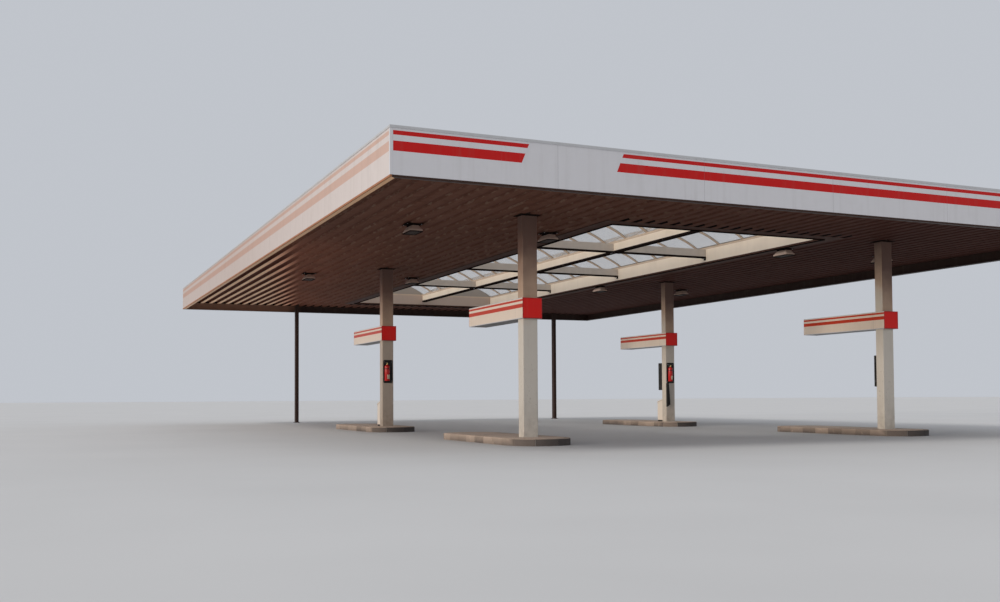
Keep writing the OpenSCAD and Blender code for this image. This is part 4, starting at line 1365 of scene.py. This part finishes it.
def build_foot_box(side):
    """Pale service box with a sloping lid that overhangs it: an outline in side view
    carried across, with a door at the rear, a plinth and a lock."""
    node = "foot_box_" + side
    (x0, y0, z0), (x1, y1, z1) = corners(node)
    inset, rear_z = 0.010, z1 - LID_FALL
    rear_y = y1 - inset
    body = drawn([(y0 + inset, z0 + PLINTH_H), (rear_y, z0 + PLINTH_H), (rear_y, rear_z - LID_T),
                  (y0 + inset, z1 - LID_T - 0.004)])
    lid = drawn([(y0, z1 - LID_T), (y1, rear_z - LID_T), (y1, rear_z - 0.006),
                 (y1 - 0.006, rear_z), (y0 + 0.006, z1), (y0, z1 - 0.006)])
    door = block((x0 + 0.035, rear_y - 0.002, z0 + 0.10),
                 (x1 - 0.035, rear_y + 0.006, rear_z - 0.075), 0.003, 0.012, 3)
    shell = merge(across(body, x0 + inset, x1 - inset, 0.008), across(lid, x0, x1, 0.005), door)
    plinth = block((x0 + 0.018, y0 + 0.012, z0),
                   (x1 - 0.018, y1 - 0.020, z0 + PLINTH_H - HAIR), 0.003)
    lock = turned(revolve([(0.012, 0.0), (0.012, 0.004), (0.009, 0.006)], 16), -90, "X")
    lock = moved(lock, (x0 + (x1 - x0) * 0.80, rear_y + 0.006, z0 + 0.40))
    piece("shell_" + node, shell, "pale", [node])
    piece("plinth_" + node, plinth, "black")
    piece("lock_" + node, lock, "bolt")


def build_post_bolts():
    """Anchor bolts on the foot plates of the rear posts."""
    places = []
    for side in ("left", "right"):
        (x0, y0, _), (x1, y1, _) = corners("rear_post_" + side)
        places += [(x, y, POST_PLATE_T) for x in (x0 + 0.016, x1 - 0.016)
                   for y in (y0 + 0.05, y1 - 0.05)]
    bolts = copies(hex_bolt(0.020, 0.012, 0.006), places)
    piece("post_bolts", bolts, "bolt")


# view and light

CAMERA_PLACE = (-14.5037, -29.7406, 0.9919)
CAMERA_YAW = math.radians(23.9298)
CAMERA_PITCH = math.radians(1.996)
CAMERA_ROLL = math.radians(-0.3167)
LENS_MM = 37.214
SHIFT_Y = 0.0606
SKY = (0.55, 0.57, 0.61)
BACKDROP = (0.53, 0.555, 0.60)
# soft lamps: name, strength, spread, colour, tilt from straight down, and swing from +Y
LAMPS = (("key", 0.9, 20, (1.0, 0.96, 0.90), 40, -76),
         ("upper side", 0.6, 4, (1.0, 0.92, 0.84), 80.5, -84),
         ("lower side", 0.8, 6, (1.0, 0.82, 0.62), 87.0, -76))
FLOOR_REACH = 420.0


def build_camera():
    """Camera at the photograph's place: yaw is from +Y towards +X, then pitch, then roll
    about the view direction."""
    data = bpy.data.cameras.new("view")
    data.sensor_width, data.lens, data.shift_y = 36.0, LENS_MM, SHIFT_Y
    camera = bpy.data.objects.new("view", data)
    bpy.context.scene.collection.objects.link(camera)
    sy, cy = math.sin(CAMERA_YAW), math.cos(CAMERA_YAW)
    sp, cp = math.sin(CAMERA_PITCH), math.cos(CAMERA_PITCH)
    sr, cr = math.sin(CAMERA_ROLL), math.cos(CAMERA_ROLL)
    ahead, right = np.array([sy * cp, cy * cp, sp]), np.array([cy, -sy, 0.0])
    up = np.cross(right, ahead)
    turn = np.column_stack([right * cr + up * sr, up * cr - right * sr, -ahead])
    camera.matrix_world = Matrix.Translation(CAMERA_PLACE) @ Matrix(turn.tolist()).to_4x4()
    bpy.context.scene.camera = camera


def build_light():
    """Even sky light, a soft key from above on the left and two low side lights from the
    left. Camera, mirror and glass rays see a pale backdrop, which lights nothing."""
    world = bpy.data.worlds.new("sky")
    bpy.context.scene.world = world
    world.use_nodes = True
    net = Net(world.node_tree)
    path = net.add("ShaderNodeLightPath").outputs
    seen = net.most(net.most(path["Is Camera Ray"], path["Is Glossy Ray"]),
                    path["Is Transmission Ray"])
    sky = world.node_tree.nodes["Background"].inputs["Color"]
    net.plug(sky, net.mix(seen, SKY, BACKDROP))
    for name, energy, spread, tone, tilt, swing in LAMPS:
        light = bpy.data.lights.new(name, "SUN")
        light.energy, light.angle, light.color = energy, math.radians(spread), tone
        lamp = bpy.data.objects.new(name, light)
        bpy.context.scene.collection.objects.link(lamp)
        lamp.rotation_euler = (math.radians(tilt), 0, math.radians(swing))


def build_floor():
    """Plain pale floor, far wider than the view."""
    far = FLOOR_REACH
    mesh = bpy.data.meshes.new("floor")
    mesh.from_pydata([(-far, -far, 0), (far, -far, 0), (far, far, 0), (-far, far, 0)], [],
                     [(0, 1, 2, 3)])
    finish, net, sockets = start_finish("pale floor", 0.9)
    tone = net.patches(net.place()[0], 0.25, 3.0, 0.3, 0.7)
    net.plug(sockets["Base Color"], net.mix(tone, (0.60, 0.60, 0.60), (0.63, 0.63, 0.63)))
    mesh.materials.append(finish)
    floor = bpy.data.objects.new("floor", mesh)
    bpy.context.scene.collection.objects.link(floor)


build_camera()
build_light()
build_floor()
dress_nodes()
build_coping()
build_fascia_trims()
build_sheet_screws()
build_opening_trims()
build_head_collars()
build_rib_closures()
build_deck_flashing()
build_beam_soles()
build_beam_seats()
build_vault_bars()
for place in PLACES:
    build_island(place)
build_sign_trims()
build_lamps()
for side in ("left", "right"):
    build_extinguisher(side)
    build_foot_box(side)
for place in ("front", "middle"):
    build_wall_box(place)
build_wiper_holder()
build_post_bolts()

bpy.context.scene.view_settings.view_transform = "Standard"
